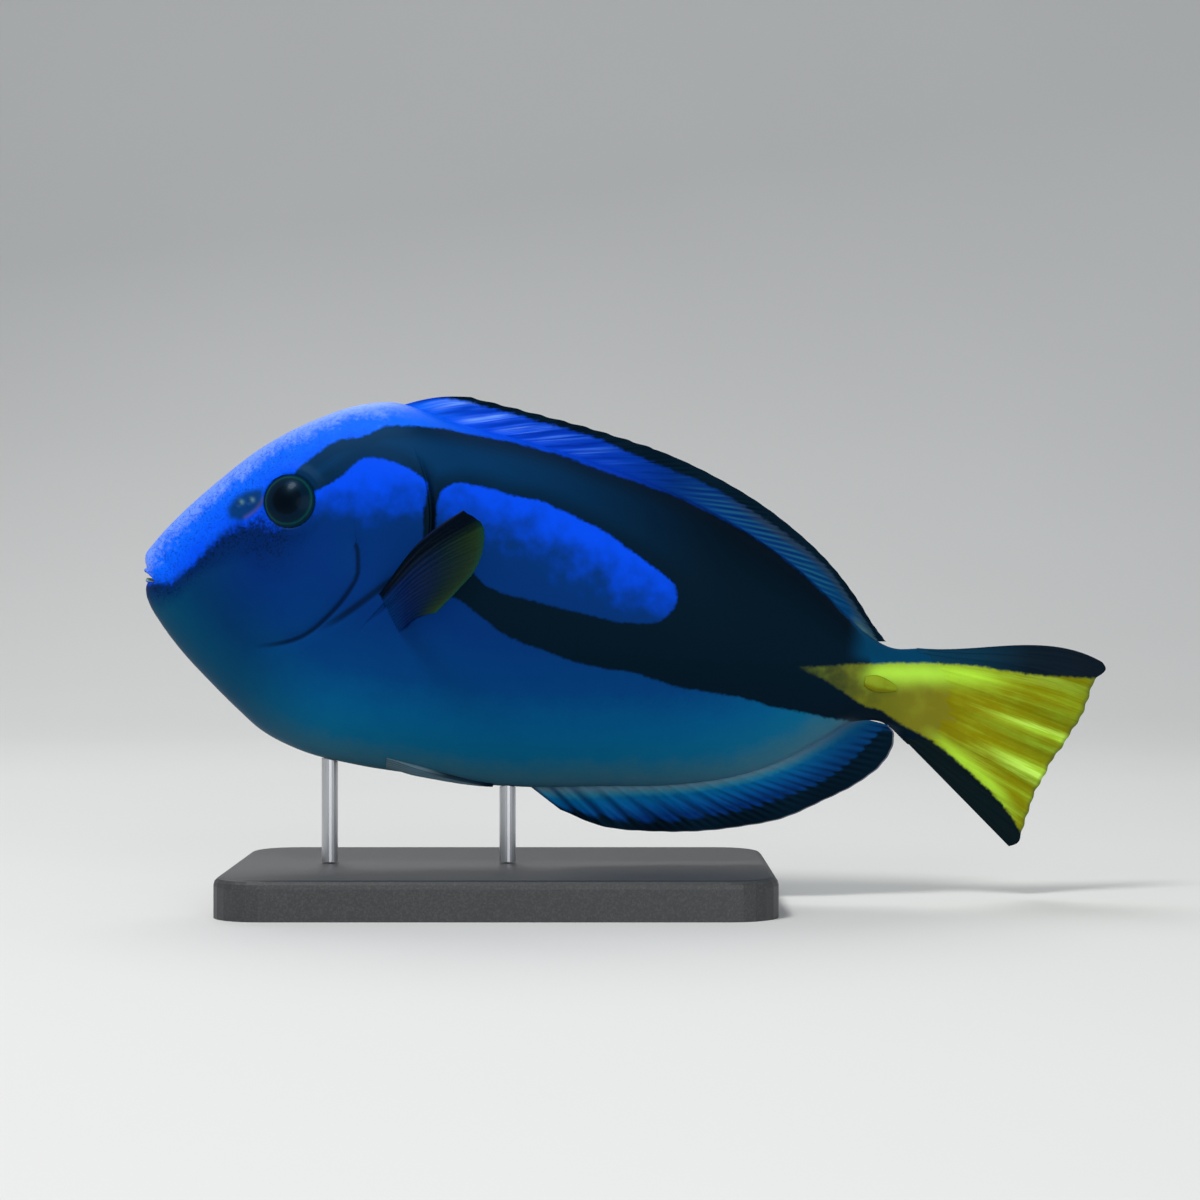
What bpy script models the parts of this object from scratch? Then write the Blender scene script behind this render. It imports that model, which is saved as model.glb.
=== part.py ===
"""A regal blue tang as a life-size model, swimming, on a plain display stand.

The fish is first worked out straight, in millimetres, in a frame of its own: u runs from the snout to the
tail, y is across it (minus is the fish's left side) and v is up. The pose then swings the rear part aside,
tips the nose up and lifts the fish over its stand. It gives metres, with +Z up and the origin at the middle
of the stand's underside.
"""

import math

import bmesh
import bpy
import numpy as np
from mathutils import Vector
from mathutils.bvhtree import BVHTree

MM = 0.001
GAP = 0.3  # between two nodes that touch
LEFT, RIGHT = -1, 1

# The pose
NOSE_UP = math.radians(9.0)
SNOUT_X = -74.0
SNOUT_Z = 69.0
SWING_START = 88.0
SWING_LENGTH = 112.0
TAIL_SWING = 12.0

# The body's outline: each line goes from the lips to the base of the tail fin, and its point number
# GILL_POINT is where the line at the gill cover's rear edge crosses it.
TOP_LINE = [
    (0.15, 0.5), (-0.45, 1.9), (-0.5, 3.4), (0.5, 5.3), (2.5, 8.6), (5.2, 12.4), (12.3, 21.0), (19.5, 28.6),
    (30.8, 36.9), (38.7, 40.9), (44.4, 42.4),
    (58.8, 40.4), (73.0, 39.0), (87.6, 37.0), (98.4, 35.0), (111.5, 31.6), (125.0, 26.4), (134.3, 21.6),
    (143.9, 15.2), (150.3, 10.6), (156.5, 8.3), (163.0, 9.2),
]  # fmt: skip
TOP_GILL_POINT = 10
MIDDLE_LINE = [(3.1, -2.2), (15.0, 3.0), (30.0, 9.5), (45.0, 13.2), (57.8, 14.2),
               (85.0, 9.0), (115.0, 4.0), (145.0, 0.6), (164.5, -0.8)]  # fmt: skip
MIDDLE_GILL_POINT = 4
BELLY_LINE = [
    (0.75, -2.5), (0.6, -3.4), (0.9, -5.0), (2.0, -7.1), (4.6, -10.2), (9.6, -15.1), (16.8, -20.8),
    (23.9, -25.9), (28.7, -29.0),
    (37.6, -32.0), (50.0, -33.2), (62.0, -33.2), (75.0, -33.2), (84.0, -32.4), (100.4, -29.8),
    (116.9, -26.9), (129.0, -23.1), (136.9, -19.0), (144.5, -13.1), (150.2, -8.6), (156.4, -7.4),
    (163.0, -11.2),
]  # fmt: skip
BELLY_GILL_POINT = 8

# Half of the body's width at its middle line, by distance from the snout, and how full its sections are
# above and below that line, by ring number: 2 is an ellipse, more is squarer and less is sharper. The curl
# says how the rings bend between the middle line and the outline.
HALF_WIDTH = [(3.1, 2.6), (5.4, 3.7), (12.0, 5.7), (20.0, 7.8), (28.0, 9.6), (38.0, 11.4), (50.0, 12.6), (64.0, 12.8),
              (80.0, 12.2), (100.0, 10.3), (120.0, 7.7), (140.0, 4.7), (152.0, 3.2), (164.5, 1.5)]  # fmt: skip
UPPER_FULLNESS = [(0.0, 2.0), (0.5, 2.1), (1.0, 2.15), (1.6, 2.0), (2.0, 2.0)]
LOWER_FULLNESS = [(0.0, 2.0), (0.5, 2.2), (1.0, 2.35), (1.6, 1.9), (2.0, 2.0)]
UPPER_CURL = [(0.0, 1.15), (0.15, 1.8), (0.5, 2.0), (2.0, 2.0)]
LOWER_CURL = [(0.0, 1.3), (0.5, 1.2), (1.0, 1.2), (2.0, 1.6)]

# How the rings lie: number 0 is at the lips, 1 at the gill cover's edge and 2 at the base of the tail fin
GILL, TAIL_BASE = 1.0, 2.0
STEM_RING = 1.82
GILL_GAP = 0.0036
STEM_GAP = 0.0026
RING_POINTS = 52
HEAD_RINGS = 46
TORSO_RINGS = 26
STEM_RINGS = 7
SHARP_ANGLE = math.radians(50)
CUT_ANGLE = math.radians(22)

# Small forms of the skin: how far each stands out, and how wide it is
RIM_HEIGHT, RIM_WIDTH = 0.45, 1.1
CHEEK_GROOVE_DEPTH, CHEEK_GROOVE_WIDTH = 0.55, 1.4
CHEEK_HEIGHT, CHEEK_CENTRE, CHEEK_WIDTH = 0.35, (36.0, 2.0), 8.0
COVER_HEIGHT, COVER_START, COVER_END = 0.5, 0.8, 0.97
BEHIND_COVER_DEPTH, BEHIND_COVER_END = 0.35, 1.08
COVER_FADE_V, COVER_FADE_LENGTH = -26.0, 9.0
LIP_HEIGHT, LIP_RING, LIP_RINGS_WIDE = 0.4, 0.018, 0.03

# The face
EYE_U, EYE_V = 28.3, 18.7
EYE_RADIUS = 6.3
EYE_HALF_DEPTH = 3.4
EYE_SUNK = 1.9
EYE_SIDES = 22
ORBIT_RIM_RADIUS = 6.7
NOSTRILS = [(17.7, 16.2), (20.2, 17.1)]
NOSTRIL_RADIUS = 0.55
NOSTRIL_DEPTH = 0.9
CHEEK_LINE = [(43.8, 12.5), (44.6, 9.0), (44.6, 5.9), (43.4, 2.2), (40.6, -3.0), (36.6, -7.2), (31.2, -10.3),
              (27.0, -11.7)]  # fmt: skip
MOUTH_BACK = (2.6, -1.8)
LIP_CENTRE = (3.0, -1.6)
LIP_RADIUS = 0.45

# Unpaired fins
DORSAL_SPINES, DORSAL_RAYS = 9, 19
ANAL_SPINES, ANAL_RAYS = 3, 18
TAIL_RAYS = 16
DORSAL_BASE = (45.6, 151.8)
ANAL_BASE = (84.6, 149.8)
DORSAL_EDGE = [(61.0, 46.1), (69.0, 45.4), (88.9, 43.3), (101.9, 41.2), (110.7, 38.9), (119.7, 35.7),
               (128.9, 31.4), (138.3, 25.5), (148.3, 16.5), (151.4, 12.9), (155.0, 9.4)]  # fmt: skip
ANAL_EDGE = [(93.0, -35.8), (101.0, -37.7), (113.0, -37.3), (122.6, -35.7), (130.7, -33.6), (138.8, -30.7),
             (146.5, -26.0), (154.3, -20.4), (157.9, -16.6), (159.8, -12.8), (159.2, -9.7)]  # fmt: skip
TAIL_EDGE = [(202.8, 10.9), (200.6, 8.2), (200.2, 4.0), (198.4, -1.8), (195.4, -8.0), (192.9, -14.0),
             (191.0, -21.0), (189.9, -27.0), (188.4, -29.8)]  # fmt: skip
TAIL_TOP_BOW = 19.0
TAIL_FOLD = 0.5
TAIL_FOLDS = 6
FIN_ROWS = 6
TAIL_ROWS = 10

# Half of a fin's thickness: its membrane, what a ray's crest or a spine's adds, and its fleshy root. The
# notch is how far the edge is cut in between two spines or two rays.
MEMBRANE_HALF = 0.27
RAY_RIDGE, SPINE_RIDGE = 0.25, 0.36
FIN_ROOT_HALF = 0.62
RAY_NOTCH, SPINE_NOTCH = 0.3, 0.6
TAIL_ROOT_HALF, TAIL_RIDGE = 0.7, 0.26

# Paired fins: the outer points are (u, distance from the middle plane, v)
PECTORAL_BASE = [(51.6, 2.2), (56.0, -3.4)]
PECTORAL_TIPS = [(65.6, 44.0, 21.4), (69.4, 42.0, 19.6), (70.3, 38.0, 15.6), (69.4, 34.0, 11.0),
                 (66.3, 29.0, 6.2), (62.4, 24.0, 1.0)]  # fmt: skip
PECTORAL_RAYS = 16
PECTORAL_ROWS = 7
PECTORAL_BOW = (-1.6, 1.2, 0.8)
PECTORAL_ROOT_HALF, PECTORAL_RIDGE = 0.8, 0.16
PELVIC_RAYS = 4
PELVIC_START, PELVIC_END = 56.0, 78.4
PELVIC_TOP = (154.0, 165.0)
PELVIC_LOW = (168.0, 173.0)
PELVIC_THICKNESS = 0.8

# The folded blade on each side of the tail's stem
BLADE_START, BLADE_END = 1.88, 1.945
BLADE_MIDDLE_ANGLE = 88.0
BLADE_HALF_ANGLE = 11.0
BLADE_THICKNESS = 0.9

# The stand
BASE_LENGTH, BASE_WIDTH, BASE_HEIGHT = 112.0, 78.0, 8.0
BASE_BEVEL = 1.6
ROD_RADIUS = 1.7
ROD_SIDES = 20
ROD_RINGS = 3
ROD_FRONT_U, ROD_REAR_U = 44.0, 81.5

COLOURS = {
    "royal_blue": (0.01, 0.09, 0.75, 1.0),
    "near_black": (0.004, 0.008, 0.02, 1.0),
    "yellow": (0.72, 0.72, 0.03, 1.0),
    "fin_blue": (0.01, 0.06, 0.42, 1.0),
    "eye_black": (0.005, 0.006, 0.008, 1.0),
    "bone": (0.8, 0.76, 0.6, 1.0),
    "base_grey": (0.05, 0.05, 0.055, 1.0),
    "steel": (0.6, 0.6, 0.62, 1.0),
}


def clear_scene():
    for obj in list(bpy.data.objects):
        bpy.data.objects.remove(obj, do_unlink=True)


def material(name, colour, roughness, metallic=0.0):
    made = bpy.data.materials.new(name)
    made.use_nodes = True
    shader = made.node_tree.nodes["Principled BSDF"]
    shader.inputs["Base Color"].default_value = COLOURS[colour]
    shader.inputs["Roughness"].default_value = roughness
    shader.inputs["Metallic"].default_value = metallic
    made.diffuse_color = COLOURS[colour]
    return made


def smooth(knots, values, where):
    """Values at `where` on the smooth curve that passes through `values` at the knots."""
    knots = np.asarray(knots, float)
    values = np.asarray(values, float)
    where = np.asarray(where, float)
    slopes = np.gradient(values, knots, axis=0)
    span = np.clip(np.searchsorted(knots, where, side="right") - 1, 0, len(knots) - 2)
    width = knots[span + 1] - knots[span]
    t = np.clip((where - knots[span]) / width, 0.0, 1.0)
    if values.ndim == 2:
        t = t[..., None]
        width = width[..., None]
    start = (1 + 2 * t) * (1 - t) ** 2 * values[span] + t * (1 - t) ** 2 * width * slopes[span]
    end = t * t * (3 - 2 * t) * values[span + 1] - t * t * (1 - t) * width * slopes[span + 1]
    return start + end


def chords(points):
    """Length along the points' chords, 0 to 1."""
    points = np.asarray(points, float)
    steps = np.linalg.norm(np.diff(points, axis=0), axis=1)
    return np.concatenate([[0.0], np.cumsum(steps)]) / steps.sum()


def along(points, fraction):
    """Point at this fraction of the length of the smooth curve through the points."""
    return smooth(chords(points), points, fraction)


def body_line(points, gill_point, ring):
    """Point (u, v) where the rings with these numbers cross one of the body's lines."""
    length = chords(points)
    where = np.interp(ring, (0.0, GILL, TAIL_BASE), (0.0, length[gill_point], 1.0))
    return smooth(length, points, where)


def smoothstep(value):
    value = np.clip(value, 0.0, 1.0)
    return value * value * (3 - 2 * value)


def hump(distance, width):
    """1 at no distance, falling smoothly to 0 within about two widths."""
    return np.exp(-((distance / width) ** 2))


def by_ring(table, ring):
    table = np.asarray(table)
    return smooth(table[:, 0], table[:, 1], ring)


def distance_to_line(u, v, line):
    """Distance from each (u, v) to an open line of a few points."""
    line = np.asarray(line, float)
    nearest = np.full(np.shape(u), np.inf)
    for (u0, v0), (u1, v1) in zip(line[:-1], line[1:]):
        du, dv = u1 - u0, v1 - v0
        t = np.clip(((u - u0) * du + (v - v0) * dv) / (du * du + dv * dv), 0.0, 1.0)
        nearest = np.minimum(nearest, np.hypot(u - u0 - t * du, v - v0 - t * dv))
    return nearest


def relief(u, v, ring):
    """How far the skin's small forms stand out sideways: orbit rim, cheek line, gill cover and lips."""
    eye = np.hypot(u - EYE_U, v - EYE_V)
    rim = RIM_HEIGHT * hump(eye - ORBIT_RIM_RADIUS, RIM_WIDTH)
    groove = CHEEK_GROOVE_DEPTH * hump(distance_to_line(u, v, CHEEK_LINE), CHEEK_GROOVE_WIDTH)
    cheek = CHEEK_HEIGHT * hump(np.hypot(u - CHEEK_CENTRE[0], v - CHEEK_CENTRE[1]), CHEEK_WIDTH)
    cover = COVER_HEIGHT * smoothstep((ring - COVER_START) / (COVER_END - COVER_START))
    behind = BEHIND_COVER_DEPTH * smoothstep((BEHIND_COVER_END - ring) / (BEHIND_COVER_END - GILL))
    step = np.where(ring <= GILL, cover, -behind) * smoothstep((v - COVER_FADE_V) / COVER_FADE_LENGTH)
    lips = LIP_HEIGHT * hump(ring - LIP_RING, LIP_RINGS_WIDE)
    return rim - groove + cheek + lips + step


def body(ring, angle):
    """Point (u, half-width, v) on the body's side. The angle runs from 0 at the back to 180 at the belly."""
    ring, angle = np.broadcast_arrays(np.asarray(ring, float), np.radians(np.asarray(angle, float)))
    top = body_line(TOP_LINE, TOP_GILL_POINT, ring)
    middle = body_line(MIDDLE_LINE, MIDDLE_GILL_POINT, ring)
    belly = body_line(BELLY_LINE, BELLY_GILL_POINT, ring)
    upper = angle <= math.pi / 2
    end = np.where(upper[..., None], top, belly)
    fullness = np.where(upper, by_ring(UPPER_FULLNESS, ring), by_ring(LOWER_FULLNESS, ring))
    curl = np.where(upper, by_ring(UPPER_CURL, ring), by_ring(LOWER_CURL, ring))
    height = np.abs(np.cos(angle)) ** (2 / fullness)
    across = np.clip(np.sin(angle), 0.0, 1.0) ** (2 / fullness)
    u = middle[..., 0] + (end[..., 0] - middle[..., 0]) * height**curl
    v = middle[..., 1] + (end[..., 1] - middle[..., 1]) * height
    half_width = by_ring(HALF_WIDTH, middle[..., 0]) * across
    half_width = half_width + relief(u, v, ring) * np.clip(across * 1.6 - 0.3, 0.0, 1.0)
    return np.stack([u, half_width, v], axis=-1)


def body_normal(ring, angle):
    """Outward normal on the right side, from small steps along and round the body."""
    step_ring, step_angle = 0.004, 1.0
    along_body = body(ring + step_ring, angle) - body(ring - step_ring, angle)
    round_body = body(ring, angle + step_angle) - body(ring, angle - step_angle)
    normal = np.cross(along_body, round_body)
    normal /= np.linalg.norm(normal, axis=-1, keepdims=True)
    return np.where(normal[..., 1:2] < 0, -normal, normal)


def posed(points):
    """World place, in metres, of points (u, y, v) of the straight fish."""
    points = np.asarray(points, float)
    u, y, v = points[..., 0], points[..., 1], points[..., 2]
    behind = np.clip((u - SWING_START) / SWING_LENGTH, 0.0, None)
    y = y + TAIL_SWING * behind**2
    x = SNOUT_X + u * math.cos(NOSE_UP) + v * math.sin(NOSE_UP)
    z = SNOUT_Z - u * math.sin(NOSE_UP) + v * math.cos(NOSE_UP)
    return np.stack([x, y, z], axis=-1) * MM


def add_mesh(name, points, faces, finish=None):
    """Object from points in metres and closed faces, turned outwards."""
    mesh = bpy.data.meshes.new(name)
    mesh.from_pydata([tuple(p) for p in np.asarray(points).reshape(-1, 3).tolist()], [], faces)
    work = bmesh.new()
    work.from_mesh(mesh)
    bmesh.ops.recalc_face_normals(work, faces=work.faces)
    if work.calc_volume(signed=True) < 0:
        bmesh.ops.reverse_faces(work, faces=work.faces)
    work.to_mesh(mesh)
    work.free()
    mesh.shade_smooth()
    mesh.set_sharp_from_angle(angle=SHARP_ANGLE)
    obj = bpy.data.objects.new(name, mesh)
    bpy.context.collection.objects.link(obj)
    if finish:
        mesh.materials.append(finish)
    return obj


def keep_largest(obj):
    """Drops every closed surface of the mesh but the largest."""
    work = bmesh.new()
    work.from_mesh(obj.data)
    left = set(work.verts)
    shells = []
    while left:
        reached = [left.pop()]
        shell = []
        while reached:
            vert = reached.pop()
            shell.append(vert)
            for edge in vert.link_edges:
                other = edge.other_vert(vert)
                if other in left:
                    left.discard(other)
                    reached.append(other)
        shells.append(shell)
    shells.sort(key=len)
    for shell in shells[:-1]:
        bmesh.ops.delete(work, geom=shell, context="VERTS")
    work.to_mesh(obj.data)
    work.free()


def cut(obj, cutters):
    """Takes the cutters' space out of the object, then removes them."""
    for cutter in cutters:
        cutter.hide_render = True
        cutter.display_type = "WIRE"
        boolean = obj.modifiers.new("cut", "BOOLEAN")
        boolean.operation = "DIFFERENCE"
        boolean.solver = "EXACT"
        boolean.object = cutter
        bpy.context.view_layer.objects.active = obj
        bpy.ops.object.modifier_apply(modifier=boolean.name)
        bpy.data.objects.remove(cutter, do_unlink=True)
    keep_largest(obj)
    obj.data.set_sharp_from_angle(angle=CUT_ANGLE)


def loop_faces(rows, columns, closed):
    """Faces of a grid of rows by columns points, whose rows may close on themselves."""
    faces = []
    for row in range(rows - 1):
        for column in range(columns if closed else columns - 1):
            after = (column + 1) % columns
            faces.append((row * columns + column, row * columns + after,
                          (row + 1) * columns + after, (row + 1) * columns + column))  # fmt: skip
    return faces


def ring_points(ring):
    """One closed ring of body points, down the left side and up the right."""
    half = RING_POINTS // 2
    side = body(np.full(half + 1, ring), np.linspace(0.0, 180.0, half + 1))
    side[0, 1] = 0.0
    side[-1, 1] = 0.0
    left = side * (1, LEFT, 1)
    return np.concatenate([left, side[-2:0:-1]])


def end_cap(first):
    """Faces that close a ring with strips from its left side to its right."""
    half = RING_POINTS // 2
    faces = [(first, first + 1, first + RING_POINTS - 1), (first + half, first + half - 1, first + half + 1)]
    for k in range(1, half - 1):
        faces.append((first + k, first + k + 1, first + RING_POINTS - k - 1, first + RING_POINTS - k))
    return faces


def body_length(name, rings, finish, inner=()):
    """One length of the body. `inner` holds rings that line the mouth, and then a point closes it."""
    grid = [np.asarray(row) for row in inner] + [ring_points(ring) for ring in rings]
    points = np.concatenate(grid)
    faces = loop_faces(len(grid), RING_POINTS, closed=True)
    faces += end_cap((len(grid) - 1) * RING_POINTS)
    if len(inner):
        faces += [(k, (k + 1) % RING_POINTS, len(points)) for k in range(RING_POINTS)]
        points = np.concatenate([points, [(MOUTH_BACK[0], 0.0, MOUTH_BACK[1])]])
    else:
        faces += end_cap(0)
    return add_mesh(name, posed(points), faces, finish)


def mouth_lining():
    """Rings from deep in the mouth out to the lips."""
    lips = ring_points(0.0)
    back = np.array([MOUTH_BACK[0], 0.0, MOUTH_BACK[1]])
    centre = np.array([LIP_CENTRE[0], 0.0, LIP_CENTRE[1]])
    inward = (centre - lips) * (0.0, 1.0, 1.0)
    inward /= np.linalg.norm(inward, axis=1, keepdims=True)
    rolls = []
    for turn in np.radians((180.0, 125.0, 80.0, 40.0)):
        rolls.append(lips + LIP_RADIUS * ((1 - math.cos(turn)) * inward + math.sin(turn) * np.array([-1.0, 0, 0])))
    deep = [lips + (back - lips) * share for share in (0.8, 0.5)]
    return deep + rolls


def ellipsoid(centre, axis, radius, half_depth, name, finish=None):
    """Flattened ball, its short axis along `axis`, in the straight fish's frame."""
    around, rows = EYE_SIDES, EYE_SIDES // 2
    axis = Vector(axis).normalized()
    side = axis.cross(Vector((0, 0, 1))).normalized()
    up = side.cross(axis)
    points = []
    for row in range(1, rows):
        polar = math.pi * row / rows
        for k in range(around):
            turn = 2 * math.pi * k / around
            reach = radius * math.sin(polar)
            flat = side * reach * math.cos(turn) + up * reach * math.sin(turn)
            points.append(Vector(centre) + flat + axis * half_depth * math.cos(polar))
    faces = loop_faces(rows - 1, around, closed=True)
    outer, inner = len(points), len(points) + 1
    points += [Vector(centre) + axis * half_depth, Vector(centre) - axis * half_depth]
    last = (rows - 2) * around
    for k in range(around):
        after = (k + 1) % around
        faces.append((after, k, outer))
        faces.append((last + k, last + after, inner))
    return add_mesh(name, posed([tuple(p) for p in points]), faces, finish)


def flank(u, v):
    """Half-width and outward normal (right side) of the body at (u, v)."""
    hit, normal, _, _ = SKIN.ray_cast(Vector((u, 60.0, v)), Vector((0.0, -1.0, 0.0)))
    return hit.y, normal if normal.y > 0 else -normal


def skin_tree():
    """The whole straight body's right side as a search tree."""
    rings, angles = 160, 90
    numbers = np.linspace(0.0, TAIL_BASE, rings)[:, None]
    turns = np.linspace(0.0, 180.0, angles)[None, :]
    grid = body(numbers, turns).reshape(-1, 3)
    return BVHTree.FromPolygons([tuple(p) for p in grid], loop_faces(rings, angles, closed=False))


def pit(side, u, v):
    """A short round cutter that sinks a nostril into the snout."""
    reach, normal = flank(u, v)
    sides = 10
    across = normal.cross(Vector((0, 0, 1))).normalized()
    up = across.cross(normal)
    points = []
    for depth in (-NOSTRIL_DEPTH, 1.5):
        for k in range(sides):
            turn = 2 * math.pi * k / sides
            rim = across * NOSTRIL_RADIUS * math.cos(turn) + up * NOSTRIL_RADIUS * math.sin(turn)
            place = Vector((u, reach, v)) + rim + normal * depth
            points.append((place.x, side * place.y, place.z))
    faces = loop_faces(2, sides, closed=True)
    faces += [tuple(range(sides)), tuple(range(sides, 2 * sides))]
    return add_mesh("pit", posed(points), faces)


def fin_solid(name, middle, half, normal, finish):
    """Closed fin from its middle surface, half-thickness and normals on one grid, split alike on both faces."""
    columns, rows = half.shape
    points = np.concatenate([(middle + normal * half[..., None]).reshape(-1, 3),
                             (middle - normal * half[..., None]).reshape(-1, 3)])  # fmt: skip
    count = columns * rows
    faces = []
    for a, b, c, d in loop_faces(columns, rows, closed=False):
        for x, y, z in ((a, b, c), (a, c, d)):
            faces.append((x, y, z))
            faces.append((count + z, count + y, count + x))
    edge = [k for k in range(rows)]
    edge += [c * rows + rows - 1 for c in range(1, columns)]
    edge += [(columns - 1) * rows + k for k in range(rows - 2, -1, -1)]
    edge += [c * rows for c in range(columns - 2, 0, -1)]
    for a, b in zip(edge, edge[1:] + edge[:1]):
        faces.append((a, b, count + b))
        faces.append((a, count + b, count + a))
    return add_mesh(name, posed(points), faces, finish)


def ray_columns(rays):
    """Positions 0 to 1 across a fin, and 1 on each ray's crest or 0 in the valley between two rays."""
    across = np.linspace(0.0, 1.0, 2 * rays - 1)
    crest = (np.arange(2 * rays - 1) % 2 == 0).astype(float)
    return across, crest


def ray_thickness(crest, out, root, membrane, ridge):
    """Half-thickness over the grid: thick and fleshy at the root, thin at the edge, with the rays' crests."""
    root_share = (1 - smoothstep(out / 0.35))[None, :]
    body_part = membrane + (root - membrane) * root_share
    return body_part + ridge * crest[:, None] * (1 - 0.6 * out[None, :])


def unpaired_fin(name, base_points, edge_points, spines, rays, finish):
    """Dorsal or anal fin: straight rays from a line on the body to the outer edge, in the middle plane."""
    across, crest = ray_columns(spines + rays)
    spiny = np.arange(len(across)) < 2 * spines
    start = base_points(across)
    end = along(edge_points, across)
    reach = end - start
    notch = np.where(spiny, SPINE_NOTCH, RAY_NOTCH)
    end = end + reach / np.linalg.norm(reach, axis=1, keepdims=True) * ((crest - 0.5) * notch)[:, None]
    out = np.linspace(0.0, 1.0, FIN_ROWS)
    flat = start[:, None, :] + (end - start)[:, None, :] * out[None, :, None]
    middle = np.stack([flat[..., 0], np.zeros(flat.shape[:2]), flat[..., 1]], axis=-1)
    ridge = np.where(spiny, SPINE_RIDGE, RAY_RIDGE)
    half = ray_thickness(crest * ridge, out, FIN_ROOT_HALF, MEMBRANE_HALF, 1.0)
    normal = np.broadcast_to((0.0, 1.0, 0.0), middle.shape)
    return fin_solid(name, middle, half, normal, finish)


def base_on(line, gill_point, limits, away):
    """Function that gives points a gap off a line of the body, between two distances from the snout."""
    numbers = np.linspace(0.0, TAIL_BASE, 1200)
    traced = body_line(line, gill_point, numbers)
    inside = traced[(traced[:, 0] >= limits[0]) & (traced[:, 0] <= limits[1]) & (numbers > 0.5)]
    heading = np.gradient(inside, axis=0)
    heading /= np.linalg.norm(heading, axis=1, keepdims=True)
    off = inside + away * GAP * np.stack([-heading[:, 1], heading[:, 0]], axis=1)
    knots = chords(off)

    def place(across):
        return np.stack([np.interp(across, knots, off[:, 0]), np.interp(across, knots, off[:, 1])], axis=1)

    return place


def tail_fin(finish):
    """The tail's fan: rays from the stem's end to the trailing edge, with soft folds across it."""
    across, crest = ray_columns(TAIL_RAYS)
    side = body(np.full(len(across), TAIL_BASE), across * 180.0)
    start = side[:, [0, 2]] + (GAP, 0.0)
    end = along(TAIL_EDGE, across)
    end = end + (crest[:, None] - 0.5) * (0.6, -0.1)
    out = np.linspace(0.0, 1.0, TAIL_ROWS)
    flat = start[:, None, :] + (end - start)[:, None, :] * out[None, :, None]
    bow = TAIL_TOP_BOW * np.clip(1 - across / 0.5, 0.0, 1.0)[:, None] ** 2
    flat[..., 1] += bow * (out**2 * (1 - out))[None, :]
    fold = TAIL_FOLD * np.sin(2 * math.pi * TAIL_FOLDS * across)[:, None] * out[None, :] ** 1.5
    middle = np.stack([flat[..., 0], fold * np.sin(math.pi * across)[:, None], flat[..., 1]], axis=-1)
    half = ray_thickness(crest, out, TAIL_ROOT_HALF, MEMBRANE_HALF, TAIL_RIDGE)
    half[:, 0] = np.clip(side[:, 1] * 0.8, MEMBRANE_HALF, None)
    normal = np.broadcast_to((0.0, 1.0, 0.0), middle.shape)
    return fin_solid("tail_fin", middle, half, normal, finish)


def surface_normals(middle):
    """Unit normals of a grid of points."""
    first = np.gradient(middle, axis=0)
    second = np.gradient(middle, axis=1)
    normal = np.cross(first, second)
    return normal / np.linalg.norm(normal, axis=-1, keepdims=True)


def pectoral_fin(side, name, finish):
    """A side fin spread out and back from behind the gill cover, with its root lying on the flank."""
    across, crest = ray_columns(PECTORAL_RAYS)
    base = np.asarray(PECTORAL_BASE)
    start_flat = base[0] + (base[1] - base[0]) * across[:, None]
    ahead = np.array([base[1, 1] - base[0, 1], base[0, 0] - base[1, 0]])
    ahead /= np.linalg.norm(ahead)
    tips = along(PECTORAL_TIPS, across)
    start = np.array([(u, flank(u, v)[0] + GAP, v) for u, v in start_flat])
    out = np.linspace(0.0, 1.0, PECTORAL_ROWS)
    reach = tips - start
    tips = tips + reach / np.linalg.norm(reach, axis=1, keepdims=True) * (crest[:, None] - 0.5) * 0.5
    middle = start[:, None, :] + (tips - start)[:, None, :] * out[None, :, None]
    bow = np.sin(math.pi * out)[None, :] * (1 - 0.5 * across)[:, None]
    middle = middle + bow[..., None] * np.array(PECTORAL_BOW)
    half = ray_thickness(crest, out, PECTORAL_ROOT_HALF, MEMBRANE_HALF, PECTORAL_RIDGE)
    normal = surface_normals(middle)
    upper = middle + normal * half[..., None]
    lower = middle - normal * half[..., None]
    faces_ahead = np.sign(normal[0, 0, 0] * ahead[0] + normal[0, 0, 2] * ahead[1])
    for face, way in ((upper, faces_ahead), (lower, -faces_ahead)):
        for k, (u, v) in enumerate(start_flat + way * ahead * half[:, :1]):
            face[k, 0] = (u, flank(u, v)[0] + GAP, v)
    middle = (upper + lower) / 2
    spread = (upper - lower) / 2
    thickness = np.linalg.norm(spread, axis=-1)
    normal = spread / thickness[..., None]
    middle = middle * (1, side, 1)
    normal = normal * (1, side, 1)
    return fin_solid(name, middle, thickness, normal, finish)


def ring_at(u, angle):
    """Number of the ring that passes this distance from the snout at this angle."""
    numbers = np.linspace(0.6, TAIL_BASE, 1500)
    return np.interp(u, body(numbers, np.full(1500, angle))[:, 0], numbers)


def shell_on_body(name, side, rings, angles, thickness, finish):
    """Closed thin piece that lies on the body, a gap off it, on a grid of ring numbers and angles."""
    place = body(rings, angles)
    normal = body_normal(rings, angles)
    middle = place + normal * (GAP + thickness[..., None] / 2)
    return fin_solid(name, middle * (1, side, 1), thickness / 2, normal * (1, side, 1), finish)


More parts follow.
